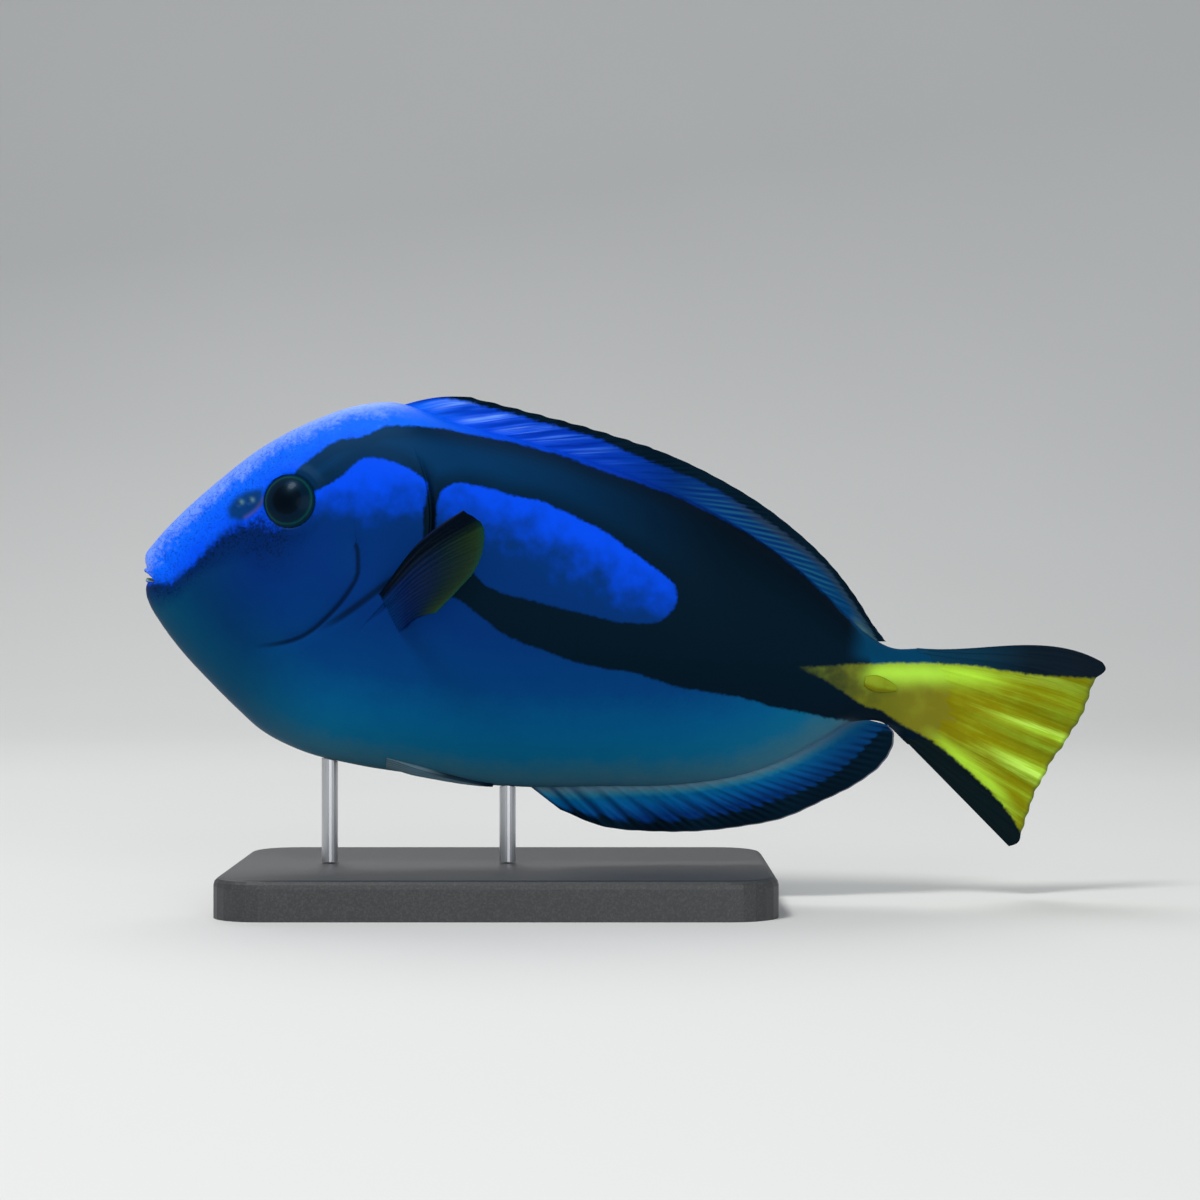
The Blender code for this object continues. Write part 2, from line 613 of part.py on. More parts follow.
def pelvic_fin(side, name, finish):
    """A belly fin folded back along the keel."""
    across, crest = ray_columns(PELVIC_RAYS)
    length = np.linspace(0.0, 1.0, 12)
    u = PELVIC_START + (PELVIC_END - PELVIC_START) * length
    top = PELVIC_TOP[0] + (PELVIC_TOP[1] - PELVIC_TOP[0]) * length**0.8
    low = PELVIC_LOW[0] + (PELVIC_LOW[1] - PELVIC_LOW[0]) * length
    angles = top[None, :] + (low - top)[None, :] * across[:, None]
    rings = np.array([[ring_at(u[j], angles[i, j]) for j in range(len(u))] for i in range(len(across))])
    thickness = (PELVIC_THICKNESS + 0.3 * crest[:, None]) * (1 - 0.4 * length[None, :] ** 3)
    return shell_on_body(name, side, rings, angles, thickness, finish)


def tail_blade(side, name, finish):
    """The spine that folds flat against the tail's stem, sharp end forwards."""
    length = np.linspace(0.0, 1.0, 8)
    across = np.linspace(-1.0, 1.0, 5)
    width = np.sin(math.pi * np.clip(length * 0.8 + 0.12, 0, 1)) ** 0.8
    rings = np.broadcast_to(BLADE_START + (BLADE_END - BLADE_START) * length[None, :], (5, 8))
    angles = BLADE_MIDDLE_ANGLE + BLADE_HALF_ANGLE * across[:, None] * width[None, :]
    thickness = 0.5 + (BLADE_THICKNESS - 0.5) * (1 - np.abs(across[:, None])) * width[None, :]
    return shell_on_body(name, side, rings, angles, thickness, finish)


def stand_base(finish):
    """Flat plate with a bevelled rim, its underside at the floor."""
    work = bmesh.new()
    bmesh.ops.create_cube(work, size=1.0)
    for vert in work.verts:
        vert.co.x *= BASE_LENGTH * MM
        vert.co.y *= BASE_WIDTH * MM
        vert.co.z = (vert.co.z + 0.5) * BASE_HEIGHT * MM
    upright = [e for e in work.edges if abs(e.verts[0].co.z - e.verts[1].co.z) > MM]
    bmesh.ops.bevel(work, geom=upright, offset=10 * MM, segments=6, profile=0.5, affect="EDGES")
    rim = [e for e in work.edges if all(v.co.z > (BASE_HEIGHT - 0.1) * MM for v in e.verts)]
    bmesh.ops.bevel(work, geom=rim, offset=BASE_BEVEL * MM, segments=3, profile=0.5, affect="EDGES")
    mesh = bpy.data.meshes.new("stand_base")
    work.to_mesh(mesh)
    work.free()
    mesh.materials.append(finish)
    mesh.shade_smooth()
    mesh.set_sharp_from_angle(angle=math.radians(30))
    obj = bpy.data.objects.new("stand_base", mesh)
    bpy.context.collection.objects.link(obj)
    return obj


def stand_rod(name, u, torso, finish):
    """Upright rod from the base to the belly, its top shaped to the skin."""
    foot = posed([(u, 0.0, -33.0)])[0]
    work = bmesh.new()
    work.from_mesh(torso.data)
    belly = BVHTree.FromBMesh(work)
    work.free()
    bottom = (BASE_HEIGHT + GAP) * MM
    points, spots = [], []
    for k in range(ROD_RINGS):
        reach = ROD_RADIUS * MM * (k + 1) / ROD_RINGS
        for j in range(ROD_SIDES):
            turn = 2 * math.pi * j / ROD_SIDES
            spots.append((foot[0] + reach * math.cos(turn), foot[1] + reach * math.sin(turn)))
    spots.append((foot[0], foot[1]))
    for x, y in spots:
        hit = belly.ray_cast(Vector((x, y, bottom)), Vector((0.0, 0.0, 1.0)))[0]
        points.append((x, y, hit.z - GAP * MM))
    faces = loop_faces(ROD_RINGS, ROD_SIDES, closed=True)
    centre = ROD_RINGS * ROD_SIDES
    faces += [(k, (k + 1) % ROD_SIDES, centre) for k in range(ROD_SIDES)]
    rim = (ROD_RINGS - 1) * ROD_SIDES
    floor = len(points)
    points += [(points[rim + k][0], points[rim + k][1], bottom) for k in range(ROD_SIDES)]
    for k in range(ROD_SIDES):
        after = (k + 1) % ROD_SIDES
        faces.append((rim + k, rim + after, floor + after, floor + k))
    faces.append(tuple(range(floor, floor + ROD_SIDES)))
    return add_mesh(name, points, faces, finish)


def build_head(skin):
    spread = np.linspace(0.0, 1.0, HEAD_RINGS)
    rings = 0.25 * spread + 0.75 * spread**1.6
    head = body_length("head", rings, skin, inner=mouth_lining())
    cutters = []
    for side in (LEFT, RIGHT):
        for u, v in NOSTRILS:
            cutters.append(pit(side, u, v))
        centre, axis = eye_place(side)
        cutters.append(ellipsoid(centre, axis, EYE_RADIUS + GAP, EYE_HALF_DEPTH + GAP, "socket"))
    cut(head, cutters)
    return head


def eye_place(side):
    """Centre and outward axis of an eye."""
    reach, _ = flank(EYE_U, EYE_V)
    normal = sum((flank(EYE_U + 4 * math.cos(t), EYE_V + 4 * math.sin(t))[1] for t in np.arange(8) * math.pi / 4),
                 Vector((0, 0, 0))).normalized()  # fmt: skip
    centre = Vector((EYE_U, reach, EYE_V)) - normal * EYE_SUNK
    return (centre.x, side * centre.y, centre.z), (normal.x, side * normal.y, normal.z)


SKIN = skin_tree()


def build():
    clear_scene()
    blue = material("royal blue skin", "royal_blue", 0.45)
    black = material("black skin", "near_black", 0.45)
    yellow = material("yellow fin", "yellow", 0.5)
    fin_blue = material("blue fin", "fin_blue", 0.5)
    eye_black = material("eye", "eye_black", 0.08)
    bone = material("bone", "bone", 0.4)
    grey = material("stand base", "base_grey", 0.4)
    steel = material("stand rod", "steel", 0.3, 1.0)

    build_head(blue)
    torso_rings = np.linspace(GILL + GILL_GAP, STEM_RING, TORSO_RINGS)
    torso = body_length("torso", torso_rings, black)
    body_length("tail_stem", np.linspace(STEM_RING + STEM_GAP, TAIL_BASE, STEM_RINGS), yellow)
    for side, word in ((LEFT, "left"), (RIGHT, "right")):
        centre, axis = eye_place(side)
        ellipsoid(centre, axis, EYE_RADIUS, EYE_HALF_DEPTH, f"eye_{word}", eye_black)
        pectoral_fin(side, f"pectoral_fin_{word}", fin_blue)
        pelvic_fin(side, f"pelvic_fin_{word}", fin_blue)
        tail_blade(side, f"tail_blade_{word}", bone)
    back = base_on(TOP_LINE, TOP_GILL_POINT, DORSAL_BASE, 1)
    unpaired_fin("dorsal_fin", back, DORSAL_EDGE, DORSAL_SPINES, DORSAL_RAYS, fin_blue)
    keel = base_on(BELLY_LINE, BELLY_GILL_POINT, ANAL_BASE, -1)
    unpaired_fin("anal_fin", keel, ANAL_EDGE, ANAL_SPINES, ANAL_RAYS, fin_blue)
    tail_fin(yellow)
    stand_base(grey)
    stand_rod("stand_rod_front", ROD_FRONT_U, torso, steel)
    stand_rod("stand_rod_rear", ROD_REAR_U, torso, steel)


build()
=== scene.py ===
# %% [markdown]
# # A regal blue tang, life-size, on a display stand
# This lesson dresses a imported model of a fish. The model already holds the solids at their real size, so
# nothing here changes a dimension. Each step replaces plain solids with a finer surface, worked out as a
# whole array of points, or gives a solid that stays a material of its own.

# %% Load the fixed frame
import math

import bpy
import numpy as np
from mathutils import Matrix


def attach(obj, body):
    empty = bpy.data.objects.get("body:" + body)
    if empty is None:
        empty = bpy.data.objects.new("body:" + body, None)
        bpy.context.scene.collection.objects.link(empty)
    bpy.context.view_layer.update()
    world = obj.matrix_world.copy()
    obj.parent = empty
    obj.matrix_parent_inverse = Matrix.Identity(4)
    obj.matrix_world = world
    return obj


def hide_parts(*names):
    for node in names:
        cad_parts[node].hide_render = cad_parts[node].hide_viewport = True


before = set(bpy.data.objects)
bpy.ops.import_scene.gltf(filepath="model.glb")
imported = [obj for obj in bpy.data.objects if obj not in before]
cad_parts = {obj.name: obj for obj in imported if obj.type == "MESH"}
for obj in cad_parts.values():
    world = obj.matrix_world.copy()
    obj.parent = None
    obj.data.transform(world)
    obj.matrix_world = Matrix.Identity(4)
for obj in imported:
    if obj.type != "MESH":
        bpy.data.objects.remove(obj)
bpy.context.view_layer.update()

print("nodes:", ", ".join(sorted(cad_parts)))

# %% [markdown]
# ## Curves through a few points
# A fish has no straight lines, so every outline is a short list of points joined by a smooth curve. A cubic
# Hermite curve is used because it passes through its points, and because its slope at each point comes from
# the neighbours, which keeps one list readable and easy to correct.

# %% Smooth curves
def smooth(knots, values, where):
    """Cubic Hermite curve through values at the knots, each slope being the slope between the neighbours."""
    knots, values, where = (np.asarray(a, float) for a in (knots, values, where))
    slopes = np.gradient(values, knots, axis=0)
    span = np.clip(np.searchsorted(knots, where, side="right") - 1, 0, len(knots) - 2)
    width = knots[span + 1] - knots[span]
    t = np.clip((where - knots[span]) / width, 0.0, 1.0)
    if values.ndim == 2:
        t, width = t[..., None], width[..., None]
    start = (1 + 2 * t) * (1 - t) ** 2 * values[span] + t * (1 - t) ** 2 * width * slopes[span]
    end = t * t * (3 - 2 * t) * values[span + 1] - t * t * (1 - t) * width * slopes[span + 1]
    return start + end


def chords(points):
    """Length along the chords from the first point to each, as a share of the whole."""
    steps = np.linalg.norm(np.diff(np.asarray(points, float), axis=0), axis=1)
    return np.concatenate([[0.0], np.cumsum(steps)]) / steps.sum()


def along(points, share):
    """Point at this share of the length of the smooth curve through the points."""
    return smooth(chords(points), points, share)


def table(rows, where):
    """Second column of the rows, read smoothly at a place in the first."""
    rows = np.asarray(rows, float)
    return smooth(rows[:, 0], rows[:, 1], where)


def smoothstep(value):
    """0 below 0, 1 above 1, and 3t squared less 2t cubed between."""
    value = np.clip(value, 0.0, 1.0)
    return value * value * (3 - 2 * value)


def hump(distance, width):
    """A bell: e to the power of minus the square of distance over width."""
    return np.exp(-((distance / width) ** 2))


# %% [markdown]
# ## The straight fish and its pose
# The fish is worked out straight, in millimetres: u runs from snout to tail, y is across it, with the left
# side at minus, and v is up. It is far easier to think about a straight fish. One function then swings the
# tail aside, tips the nose up and turns millimetres into metres, so every piece is posed in the same way.

# %% Pose
MM = 0.001
LEFT, RIGHT = -1, 1
NOSE_UP = math.radians(9.0)
SNOUT_X, SNOUT_Z = -74.0, 69.0
SWING_START, SWING_LENGTH, TAIL_SWING = 88.0, 112.0, 12.0


def posed(points):
    """World place in metres: y grows with the square of the length behind the swing's start, then u and v
    turn by the nose's angle."""
    u, y, v = np.moveaxis(np.asarray(points, float), -1, 0)
    y = y + TAIL_SWING * np.clip((u - SWING_START) / SWING_LENGTH, 0.0, None) ** 2
    x = SNOUT_X + u * math.cos(NOSE_UP) + v * math.sin(NOSE_UP)
    z = SNOUT_Z - u * math.sin(NOSE_UP) + v * math.cos(NOSE_UP)
    return np.stack([x, y, z], axis=-1) * MM


# %% [markdown]
# ## The camera
# The photograph is square and shows the fish from its left side, level with it, with no visible slant. A long
# lens at 0.59 m frames 250 mm at the fish's middle plane, which puts its snout, tail and back on the same
# pixels as in the photograph.

# %% Camera
def add_camera(place, lens):
    data = bpy.data.cameras.new("camera")
    data.lens = lens
    data.sensor_width = 36.0
    camera = bpy.data.objects.new("camera", data)
    camera.location = place
    camera.rotation_euler = (math.radians(90.0), 0.0, 0.0)
    bpy.context.scene.collection.objects.link(camera)
    bpy.context.scene.camera = camera
    return camera


camera = add_camera((0.02058, -0.5903, 0.06275), 85.0)
print("camera stands", round(-camera.location.y, 3), "m from the fish")

# %% [markdown]
# ## Nodes in a few words
# A procedural material is a small calculation. These helpers add one node each and join it to what it reads,
# so that a finish can be written like a formula. Colours are given as they look on a screen and turned to the
# linear light that the shader works in.

# %% Helpers for materials
def paint(red, green, blue):
    """Linear colour of a screen colour from 0 to 255: the share above 0.04045 is raised to the power 2.4."""
    share = np.array([red, green, blue]) / 255.0
    linear = np.where(share <= 0.04045, share / 12.92, ((share + 0.055) / 1.055) ** 2.4)
    return (*linear.tolist(), 1.0)


def new_finish(name, roughness=0.5, metallic=0.0, gloss=0.5, gloss_tint=(1.0, 1.0, 1.0, 1.0)):
    finish = bpy.data.materials.new(name)
    finish.use_nodes = True
    shader = finish.node_tree.nodes["Principled BSDF"]
    shader.inputs["Roughness"].default_value = roughness
    shader.inputs["Metallic"].default_value = metallic
    shader.inputs["Specular IOR Level"].default_value = gloss
    shader.inputs["Specular Tint"].default_value = gloss_tint
    return finish, finish.node_tree, shader


def add(tree, kind, **settings):
    made = tree.nodes.new("ShaderNode" + kind)
    for key, value in settings.items():
        setattr(made, key, value)
    return made


def feed(tree, socket, value):
    if isinstance(value, bpy.types.NodeSocket):
        tree.links.new(value, socket)
    else:
        socket.default_value = value


def arith(tree, operation, *values, clamp=False):
    """One Math node."""
    made = add(tree, "Math", operation=operation, use_clamp=clamp)
    for socket, value in zip(made.inputs, values):
        feed(tree, socket, value)
    return made.outputs[0]


def times(tree, first, *others):
    """Product of two or more values."""
    for other in others:
        first = arith(tree, "MULTIPLY", first, other)
    return first


def reading(tree, name):
    """A value stored on the piece's points."""
    return add(tree, "Attribute", attribute_name=name).outputs["Fac"]


def step(tree, value, start, end):
    """0 at the start and 1 at the end, smooth between them. The start may be the larger."""
    made = add(tree, "MapRange", interpolation_type="SMOOTHSTEP")
    feed(tree, made.inputs["Value"], value)
    made.inputs["From Min"].default_value = start
    made.inputs["From Max"].default_value = end
    return made.outputs["Result"]


def within(tree, name, start, end):
    """The stored value, stepped from 0 at the start to 1 at the end."""
    return step(tree, reading(tree, name), start, end)


def mix(tree, factor, first, second):
    """The first colour where the factor is 0 and the second where it is 1."""
    made = add(tree, "Mix", data_type="RGBA")
    feed(tree, made.inputs["Factor"], factor)
    feed(tree, made.inputs[6], first)
    feed(tree, made.inputs[7], second)
    return made.outputs[2]


def ramp(tree, value, stops):
    """Colours at values, from a list of (value, colour)."""
    made = add(tree, "ValToRGB")
    low, high = stops[0][0], stops[-1][0]
    spread = add(tree, "MapRange")
    feed(tree, spread.inputs["Value"], value)
    spread.inputs["From Min"].default_value = low
    spread.inputs["From Max"].default_value = high
    feed(tree, made.inputs["Fac"], spread.outputs["Result"])
    bar = made.color_ramp.elements
    while len(bar) < len(stops):
        bar.new(0.5)
    for element, (where, colour) in zip(bar, stops):
        element.position = (where - low) / (high - low)
        element.color = colour
    return made.outputs["Color"]


def noise(tree, place, scale, detail=2.0, rough=0.5):
    made = add(tree, "TexNoise")
    feed(tree, made.inputs["Vector"], place)
    made.inputs["Scale"].default_value = scale
    made.inputs["Detail"].default_value = detail
    made.inputs["Roughness"].default_value = rough
    return made.outputs["Fac"]


def object_place(tree):
    return add(tree, "TexCoord").outputs["Object"]


def bump(tree, shader, height, strength, depth_mm):
    made = add(tree, "Bump")
    made.inputs["Strength"].default_value = strength
    made.inputs["Distance"].default_value = depth_mm * MM
    feed(tree, made.inputs["Height"], height)
    tree.links.new(made.outputs["Normal"], shader.inputs["Normal"])


# %% [markdown]
# ## Floor and light
# The sea is left out, so the model stands on a pale sweep that curves up behind it, as in a small studio. A
# soft light from above and in front does what the aquarium's lamps do in the photograph: it brightens
# the forehead and the back and leaves the cheek and the belly calmer. The colours are kept as the shader
# makes them, because a filmic view would grey the royal blue.

# %% Floor, lights and sky
def sweep(width, front, back, height, bend):
    """Profile: a flat floor, a quarter circle of this radius and an upright wall, drawn across the width."""
    turn = np.linspace(0.0, math.pi / 2, 16)
    curve_y = back - bend + bend * np.sin(turn)
    curve_z = bend - bend * np.cos(turn)
    profile_y = np.concatenate([[front], curve_y, [back]])
    profile_z = np.concatenate([[0.0], curve_z, [height]])
    count = len(profile_y)
    points = [(x, y, z) for x in (-width / 2, width / 2) for y, z in zip(profile_y, profile_z)]
    faces = [(k, count + k, count + k + 1, k + 1) for k in range(count - 1)]
    mesh = bpy.data.meshes.new("floor")
    mesh.from_pydata(points, [], faces)
    mesh.shade_smooth()
    floor = bpy.data.objects.new("floor", mesh)
    bpy.context.scene.collection.objects.link(floor)
    return floor


def floor_finish():
    finish, tree, shader = new_finish("pale paper", 0.85)
    tone = noise(tree, object_place(tree), 3.0)
    shader_colour = mix(tree, tone, paint(214, 214, 212), paint(222, 222, 221))
    tree.links.new(shader_colour, shader.inputs["Base Color"])
    return finish


def area_light(name, place, aim, size, watts, colour):
    data = bpy.data.lights.new(name, "AREA")
    data.shape = "DISK"
    data.size = size
    data.energy = watts
    data.color = colour
    light = bpy.data.objects.new(name, data)
    light.location = place
    heading = np.array(aim) - np.array(place)
    light.rotation_euler = (math.acos(-heading[2] / np.linalg.norm(heading)), 0.0,
                            math.atan2(heading[0], -heading[1]) + math.pi)  # fmt: skip
    bpy.context.scene.collection.objects.link(light)
    return light


floor = sweep(6.0, -3.0, 1.6, 2.6, 0.9)
floor.data.materials.append(floor_finish())
FISH_MIDDLE = (0.02, 0.0, 0.06)
area_light("key", (-0.35, -0.5, 1.0), FISH_MIDDLE, 0.32, 7.5, (1.0, 0.99, 0.97))
area_light("fill", (0.35, -1.1, 0.25), FISH_MIDDLE, 1.0, 5.0, (0.96, 0.98, 1.0))
area_light("rim", (-0.2, 0.7, 0.9), FISH_MIDDLE, 0.6, 4.0, (1.0, 1.0, 1.0))
sky = bpy.data.worlds.new("studio")
sky.use_nodes = True
sky.node_tree.nodes["Background"].inputs["Color"].default_value = (0.9, 0.95, 1.0, 1.0)
sky.node_tree.nodes["Background"].inputs["Strength"].default_value = 0.4
bpy.context.scene.world = sky
bpy.context.scene.view_settings.view_transform = "Standard"

# %% [markdown]
# ## The body as a function of two numbers
# Every point of the skin has a ring number, 0 at the lips, 1 at the gill cover's edge and 2 at the tail fin,
# and an angle from 0 on the back to 180 on the belly. Three outlines, a table of widths and a power for how
# full each section is give the whole body, and small bells and steps in the width give the lips, the eye's
# rim, the cheek line and the gill cover.

# %% Outlines and sections
TOP_LINE = [
    (0.15, 0.5), (-0.45, 1.9), (-0.5, 3.4), (0.5, 5.3), (2.5, 8.6), (5.2, 12.4), (12.3, 21.0), (19.5, 28.6),
    (30.8, 36.9), (38.7, 40.9), (44.4, 42.4),
    (58.8, 40.4), (73.0, 39.0), (87.6, 37.0), (98.4, 35.0), (111.5, 31.6), (125.0, 26.4), (134.3, 21.6),
    (143.9, 15.2), (150.3, 10.6), (156.5, 8.3), (163.0, 9.2),
]  # fmt: skip
TOP_GILL_POINT = 10
MIDDLE_LINE = [(3.1, -2.2), (15.0, 3.0), (30.0, 9.5), (45.0, 13.2), (57.8, 14.2),
               (85.0, 9.0), (115.0, 4.0), (145.0, 0.6), (164.5, -0.8)]  # fmt: skip
MIDDLE_GILL_POINT = 4
BELLY_LINE = [
    (0.75, -2.5), (0.6, -3.4), (0.9, -5.0), (2.0, -7.1), (4.6, -10.2), (9.6, -15.1), (16.8, -20.8),
    (23.9, -25.9), (28.7, -29.0),
    (37.6, -32.0), (50.0, -33.2), (62.0, -33.2), (75.0, -33.2), (84.0, -32.4), (100.4, -29.8),
    (116.9, -26.9), (129.0, -23.1), (136.9, -19.0), (144.5, -13.1), (150.2, -8.6), (156.4, -7.4),
    (163.0, -11.2),
]  # fmt: skip
BELLY_GILL_POINT = 8
HALF_WIDTH = [(3.1, 2.6), (5.4, 3.7), (12.0, 5.7), (20.0, 7.8), (28.0, 9.6), (38.0, 11.4), (50.0, 12.6),
              (64.0, 12.8), (80.0, 12.2), (100.0, 10.3), (120.0, 7.7), (140.0, 4.7), (152.0, 3.2),
              (164.5, 1.5)]  # fmt: skip
UPPER_FULLNESS = [(0.0, 2.0), (0.5, 2.1), (1.0, 2.15), (1.6, 2.0), (2.0, 2.0)]
LOWER_FULLNESS = [(0.0, 2.0), (0.5, 2.2), (1.0, 2.35), (1.6, 1.9), (2.0, 2.0)]
UPPER_CURL = [(0.0, 1.15), (0.15, 1.8), (0.5, 2.0), (2.0, 2.0)]
LOWER_CURL = [(0.0, 1.3), (0.5, 1.2), (1.0, 1.2), (2.0, 1.6)]
GILL, TAIL_BASE = 1.0, 2.0


def body_line(points, gill_point, ring):
    """Point (u, v) where a ring crosses a line: its length runs evenly from lips to gill and gill to tail."""
    length = chords(points)
    return smooth(length, points, np.interp(ring, (0.0, GILL, TAIL_BASE), (0.0, length[gill_point], 1.0)))


# %% [markdown]
# ## Small forms of the skin
# The solids hold these forms a little softer. Here the grid is fine enough for the groove round the eye, the
# two nostrils with their raised rims, the fold behind the lips and the gill cover's free edge, which stands
# off the flank and throws a thin shadow.

# %% Relief of the skin
EYE_U, EYE_V = 28.3, 18.7
EYE_OPENING = 5.25
RIM_HEIGHT, RIM_RADIUS, RIM_WIDTH = 0.45, 6.7, 1.1
LID_HEIGHT, LID_RADIUS, LID_WIDTH = 0.22, 5.75, 0.35
SOCKET_DEPTH, NOSTRIL_DEPTH, NOSTRIL_WIDTH = 3.2, 0.5, 0.36
NOSTRILS = [(17.8, 16.5), (20.0, 17.3)]
CHEEK_LINE = [(43.6, 12.0), (44.3, 9.0), (44.7, 5.9), (43.6, 2.6), (42.0, -0.5), (40.0, -3.4), (37.6, -6.3),
              (34.8, -8.6), (31.2, -10.3), (26.6, -11.7)]  # fmt: skip
FOLD_LINE = [(53.6, 7.4), (51.1, 5.3), (46.5, 0.6), (41.4, -4.1), (37.0, -7.0)]


def line_distance(u, v, line):
    """Distance from each point to an open line: the least over its straight pieces."""
    nearest = np.full(np.shape(u), np.inf)
    for (u0, v0), (u1, v1) in zip(line[:-1], line[1:]):
        du, dv = u1 - u0, v1 - v0
        t = np.clip(((u - u0) * du + (v - v0) * dv) / (du * du + dv * dv), 0.0, 1.0)
        nearest = np.minimum(nearest, np.hypot(u - u0 - t * du, v - v0 - t * dv))
    return nearest


def side_distance(u, v, line):
    """Distance to an open line, plus on its left: the sign is the cross product's at the nearest piece."""
    nearest = np.full(np.shape(u), np.inf)
    for (u0, v0), (u1, v1) in zip(line[:-1], line[1:]):
        du, dv = u1 - u0, v1 - v0
        t = np.clip(((u - u0) * du + (v - v0) * dv) / (du * du + dv * dv), 0.0, 1.0)
        away = np.hypot(u - u0 - t * du, v - v0 - t * dv)
        turned = np.where(du * (v - v0) - dv * (u - u0) < 0.0, -away, away)
        nearest = np.where(away < np.abs(nearest), turned, nearest)
    return nearest


def relief(u, v, ring):
    """Sum of bells and steps, in mm, by which the skin stands out sideways."""
    eye = np.hypot(u - EYE_U, v - EYE_V)
    rim = RIM_HEIGHT * hump(eye - RIM_RADIUS, RIM_WIDTH) + LID_HEIGHT * hump(eye - LID_RADIUS, LID_WIDTH)
    line = line_distance(u, v, along(CHEEK_LINE, np.linspace(0.0, 1.0, 40)))
    groove = 0.35 * hump(line, 1.6) + 0.4 * hump(line, 0.45) * smoothstep((u - 25.0) / 10.0)
    fold = line_distance(u, v, along(FOLD_LINE, np.linspace(0.0, 1.0, 30)))
    groove = groove + 0.3 * hump(fold, 0.9) * smoothstep((u - 37.0) / 8.0)
    cheek = 0.35 * hump(np.hypot(u - 36.0, v - 2.0), 8.0)
    cover = 0.5 * smoothstep((ring - 0.8) / 0.17) + 0.1 * hump(ring - 0.992, 0.01)
    behind = 0.35 * smoothstep((1.08 - ring) / 0.08) + 0.5 * hump(ring - GILL - 0.004, 0.006)
    gill = np.where(ring <= GILL, cover, -behind)
    gill = gill * smoothstep((v + 5.0) / 11.0) * smoothstep((34.0 - v) / 10.0)
    lips = 0.4 * hump(ring - 0.018, 0.03) - 0.3 * hump(ring - 0.075, 0.018)
    return rim - groove + cheek + gill + lips


def sunk(u, v):
    """Depth in mm of the eye socket, a steep smooth wall, and of the nostrils, bells inside small rims."""
    depth = SOCKET_DEPTH * smoothstep((EYE_OPENING + 0.25 - np.hypot(u - EYE_U, v - EYE_V)) / 0.9)
    for nostril_u, nostril_v in NOSTRILS:
        away = np.hypot(u - nostril_u, v - nostril_v)
        depth = depth + NOSTRIL_DEPTH * hump(away, NOSTRIL_WIDTH) - 0.08 * hump(away - 0.8, 0.3)
    return depth


def body(ring, angle):
    """Point (u, half-width, v): a superellipse section between the middle line and the top or belly line."""
    ring, angle = np.broadcast_arrays(np.asarray(ring, float), np.radians(np.asarray(angle, float)))
    middle = body_line(MIDDLE_LINE, MIDDLE_GILL_POINT, ring)
    upper = angle <= math.pi / 2
    end = np.where(upper[..., None], body_line(TOP_LINE, TOP_GILL_POINT, ring),
                   body_line(BELLY_LINE, BELLY_GILL_POINT, ring))  # fmt: skip
    power = 2 / np.where(upper, table(UPPER_FULLNESS, ring), table(LOWER_FULLNESS, ring))
    curl = np.where(upper, table(UPPER_CURL, ring), table(LOWER_CURL, ring))
    height = np.abs(np.cos(angle)) ** power
    across = np.clip(np.sin(angle), 0.0, 1.0) ** power
    u = middle[..., 0] + (end[..., 0] - middle[..., 0]) * height**curl
    v = middle[..., 1] + (end[..., 1] - middle[..., 1]) * height
    width = table(HALF_WIDTH, middle[..., 0]) * across
    width = width + relief(u, v, ring) * np.clip(across * 1.6 - 0.3, 0.0, 1.0) - sunk(u, v) * (ring > 0.1)
    return np.stack([u, np.where(across > 0.0, width, 0.0), v], axis=-1)


# %% [markdown]
# ## Where the points go
# The skin may hold a hundred thousand points, and they are spent where the form is small. A density with
# bells at the eye, the lips and the gill cover is summed up and read backwards, which gives many rings there
# and few on the plain flank. The same is done round the body.

# %% Ring numbers and angles
HEAD_RINGS, TRUNK_RINGS, SIDE_POINTS = 236, 190, 105


def spaced(start, end, count, bells):
    """Positions whose spacing is the inverse of 1 plus a sum of bells (centre, width, height)."""
    fine = np.linspace(start, end, 4000)
    density = 1.0 + sum(height * hump(fine - centre, width) for centre, width, height in bells)
    total = np.concatenate([[0.0], np.cumsum((density[1:] + density[:-1]) / 2)])
    return np.interp(np.linspace(0.0, total[-1], count), total, fine)


head_rings = spaced(0.0, GILL, HEAD_RINGS, [(0.0, 0.05, 2.0), (0.45, 0.13, 1.2), (1.0, 0.012, 5.0)])
trunk_rings = spaced(GILL + 0.0006, TAIL_BASE, TRUNK_RINGS, [(1.0, 0.03, 4.0), (2.0, 0.1, 0.6)])
body_rings = np.concatenate([head_rings, trunk_rings])
side_angles = spaced(0.0, 180.0, SIDE_POINTS + 1, [(66.0, 15.0, 1.6), (0.0, 6.0, 0.5), (180.0, 6.0, 0.5)])
print(len(body_rings), "rings of", 2 * SIDE_POINTS, "points")

# %% [markdown]
# ## Turning grids into pieces
# A grid of points becomes a mesh with one quad between each four neighbours. The helper also stores readings
# on the points, such as the distance to a marking's edge, because the material can turn them into a crisp
# line at any zoom. It measures the closed volume and turns the faces round if they would look inwards.

# %% Mesh helpers
def grid_faces(rows, columns, closed):
    """Quads of a grid whose point number is row times columns plus column."""
    gaps = columns if closed else columns - 1
    row, column = np.meshgrid(np.arange(rows - 1), np.arange(gaps), indexing="ij")
    after = (column + 1) % columns
    corners = [row * columns + column, row * columns + after, (row + 1) * columns + after,
               (row + 1) * columns + column]  # fmt: skip
    return np.stack(corners, axis=-1).reshape(-1, 4)


def volume(points, faces):
    """Sum over the faces, cut into triangles, of a sixth of the corners' triple product."""
    total = 0.0
    for group in faces:
        for k in range(1, group.shape[1] - 1):
            a, b, c = points[group[:, 0]], points[group[:, k]], points[group[:, k + 1]]
            total += (a * np.cross(b, c)).sum() / 6
    return total


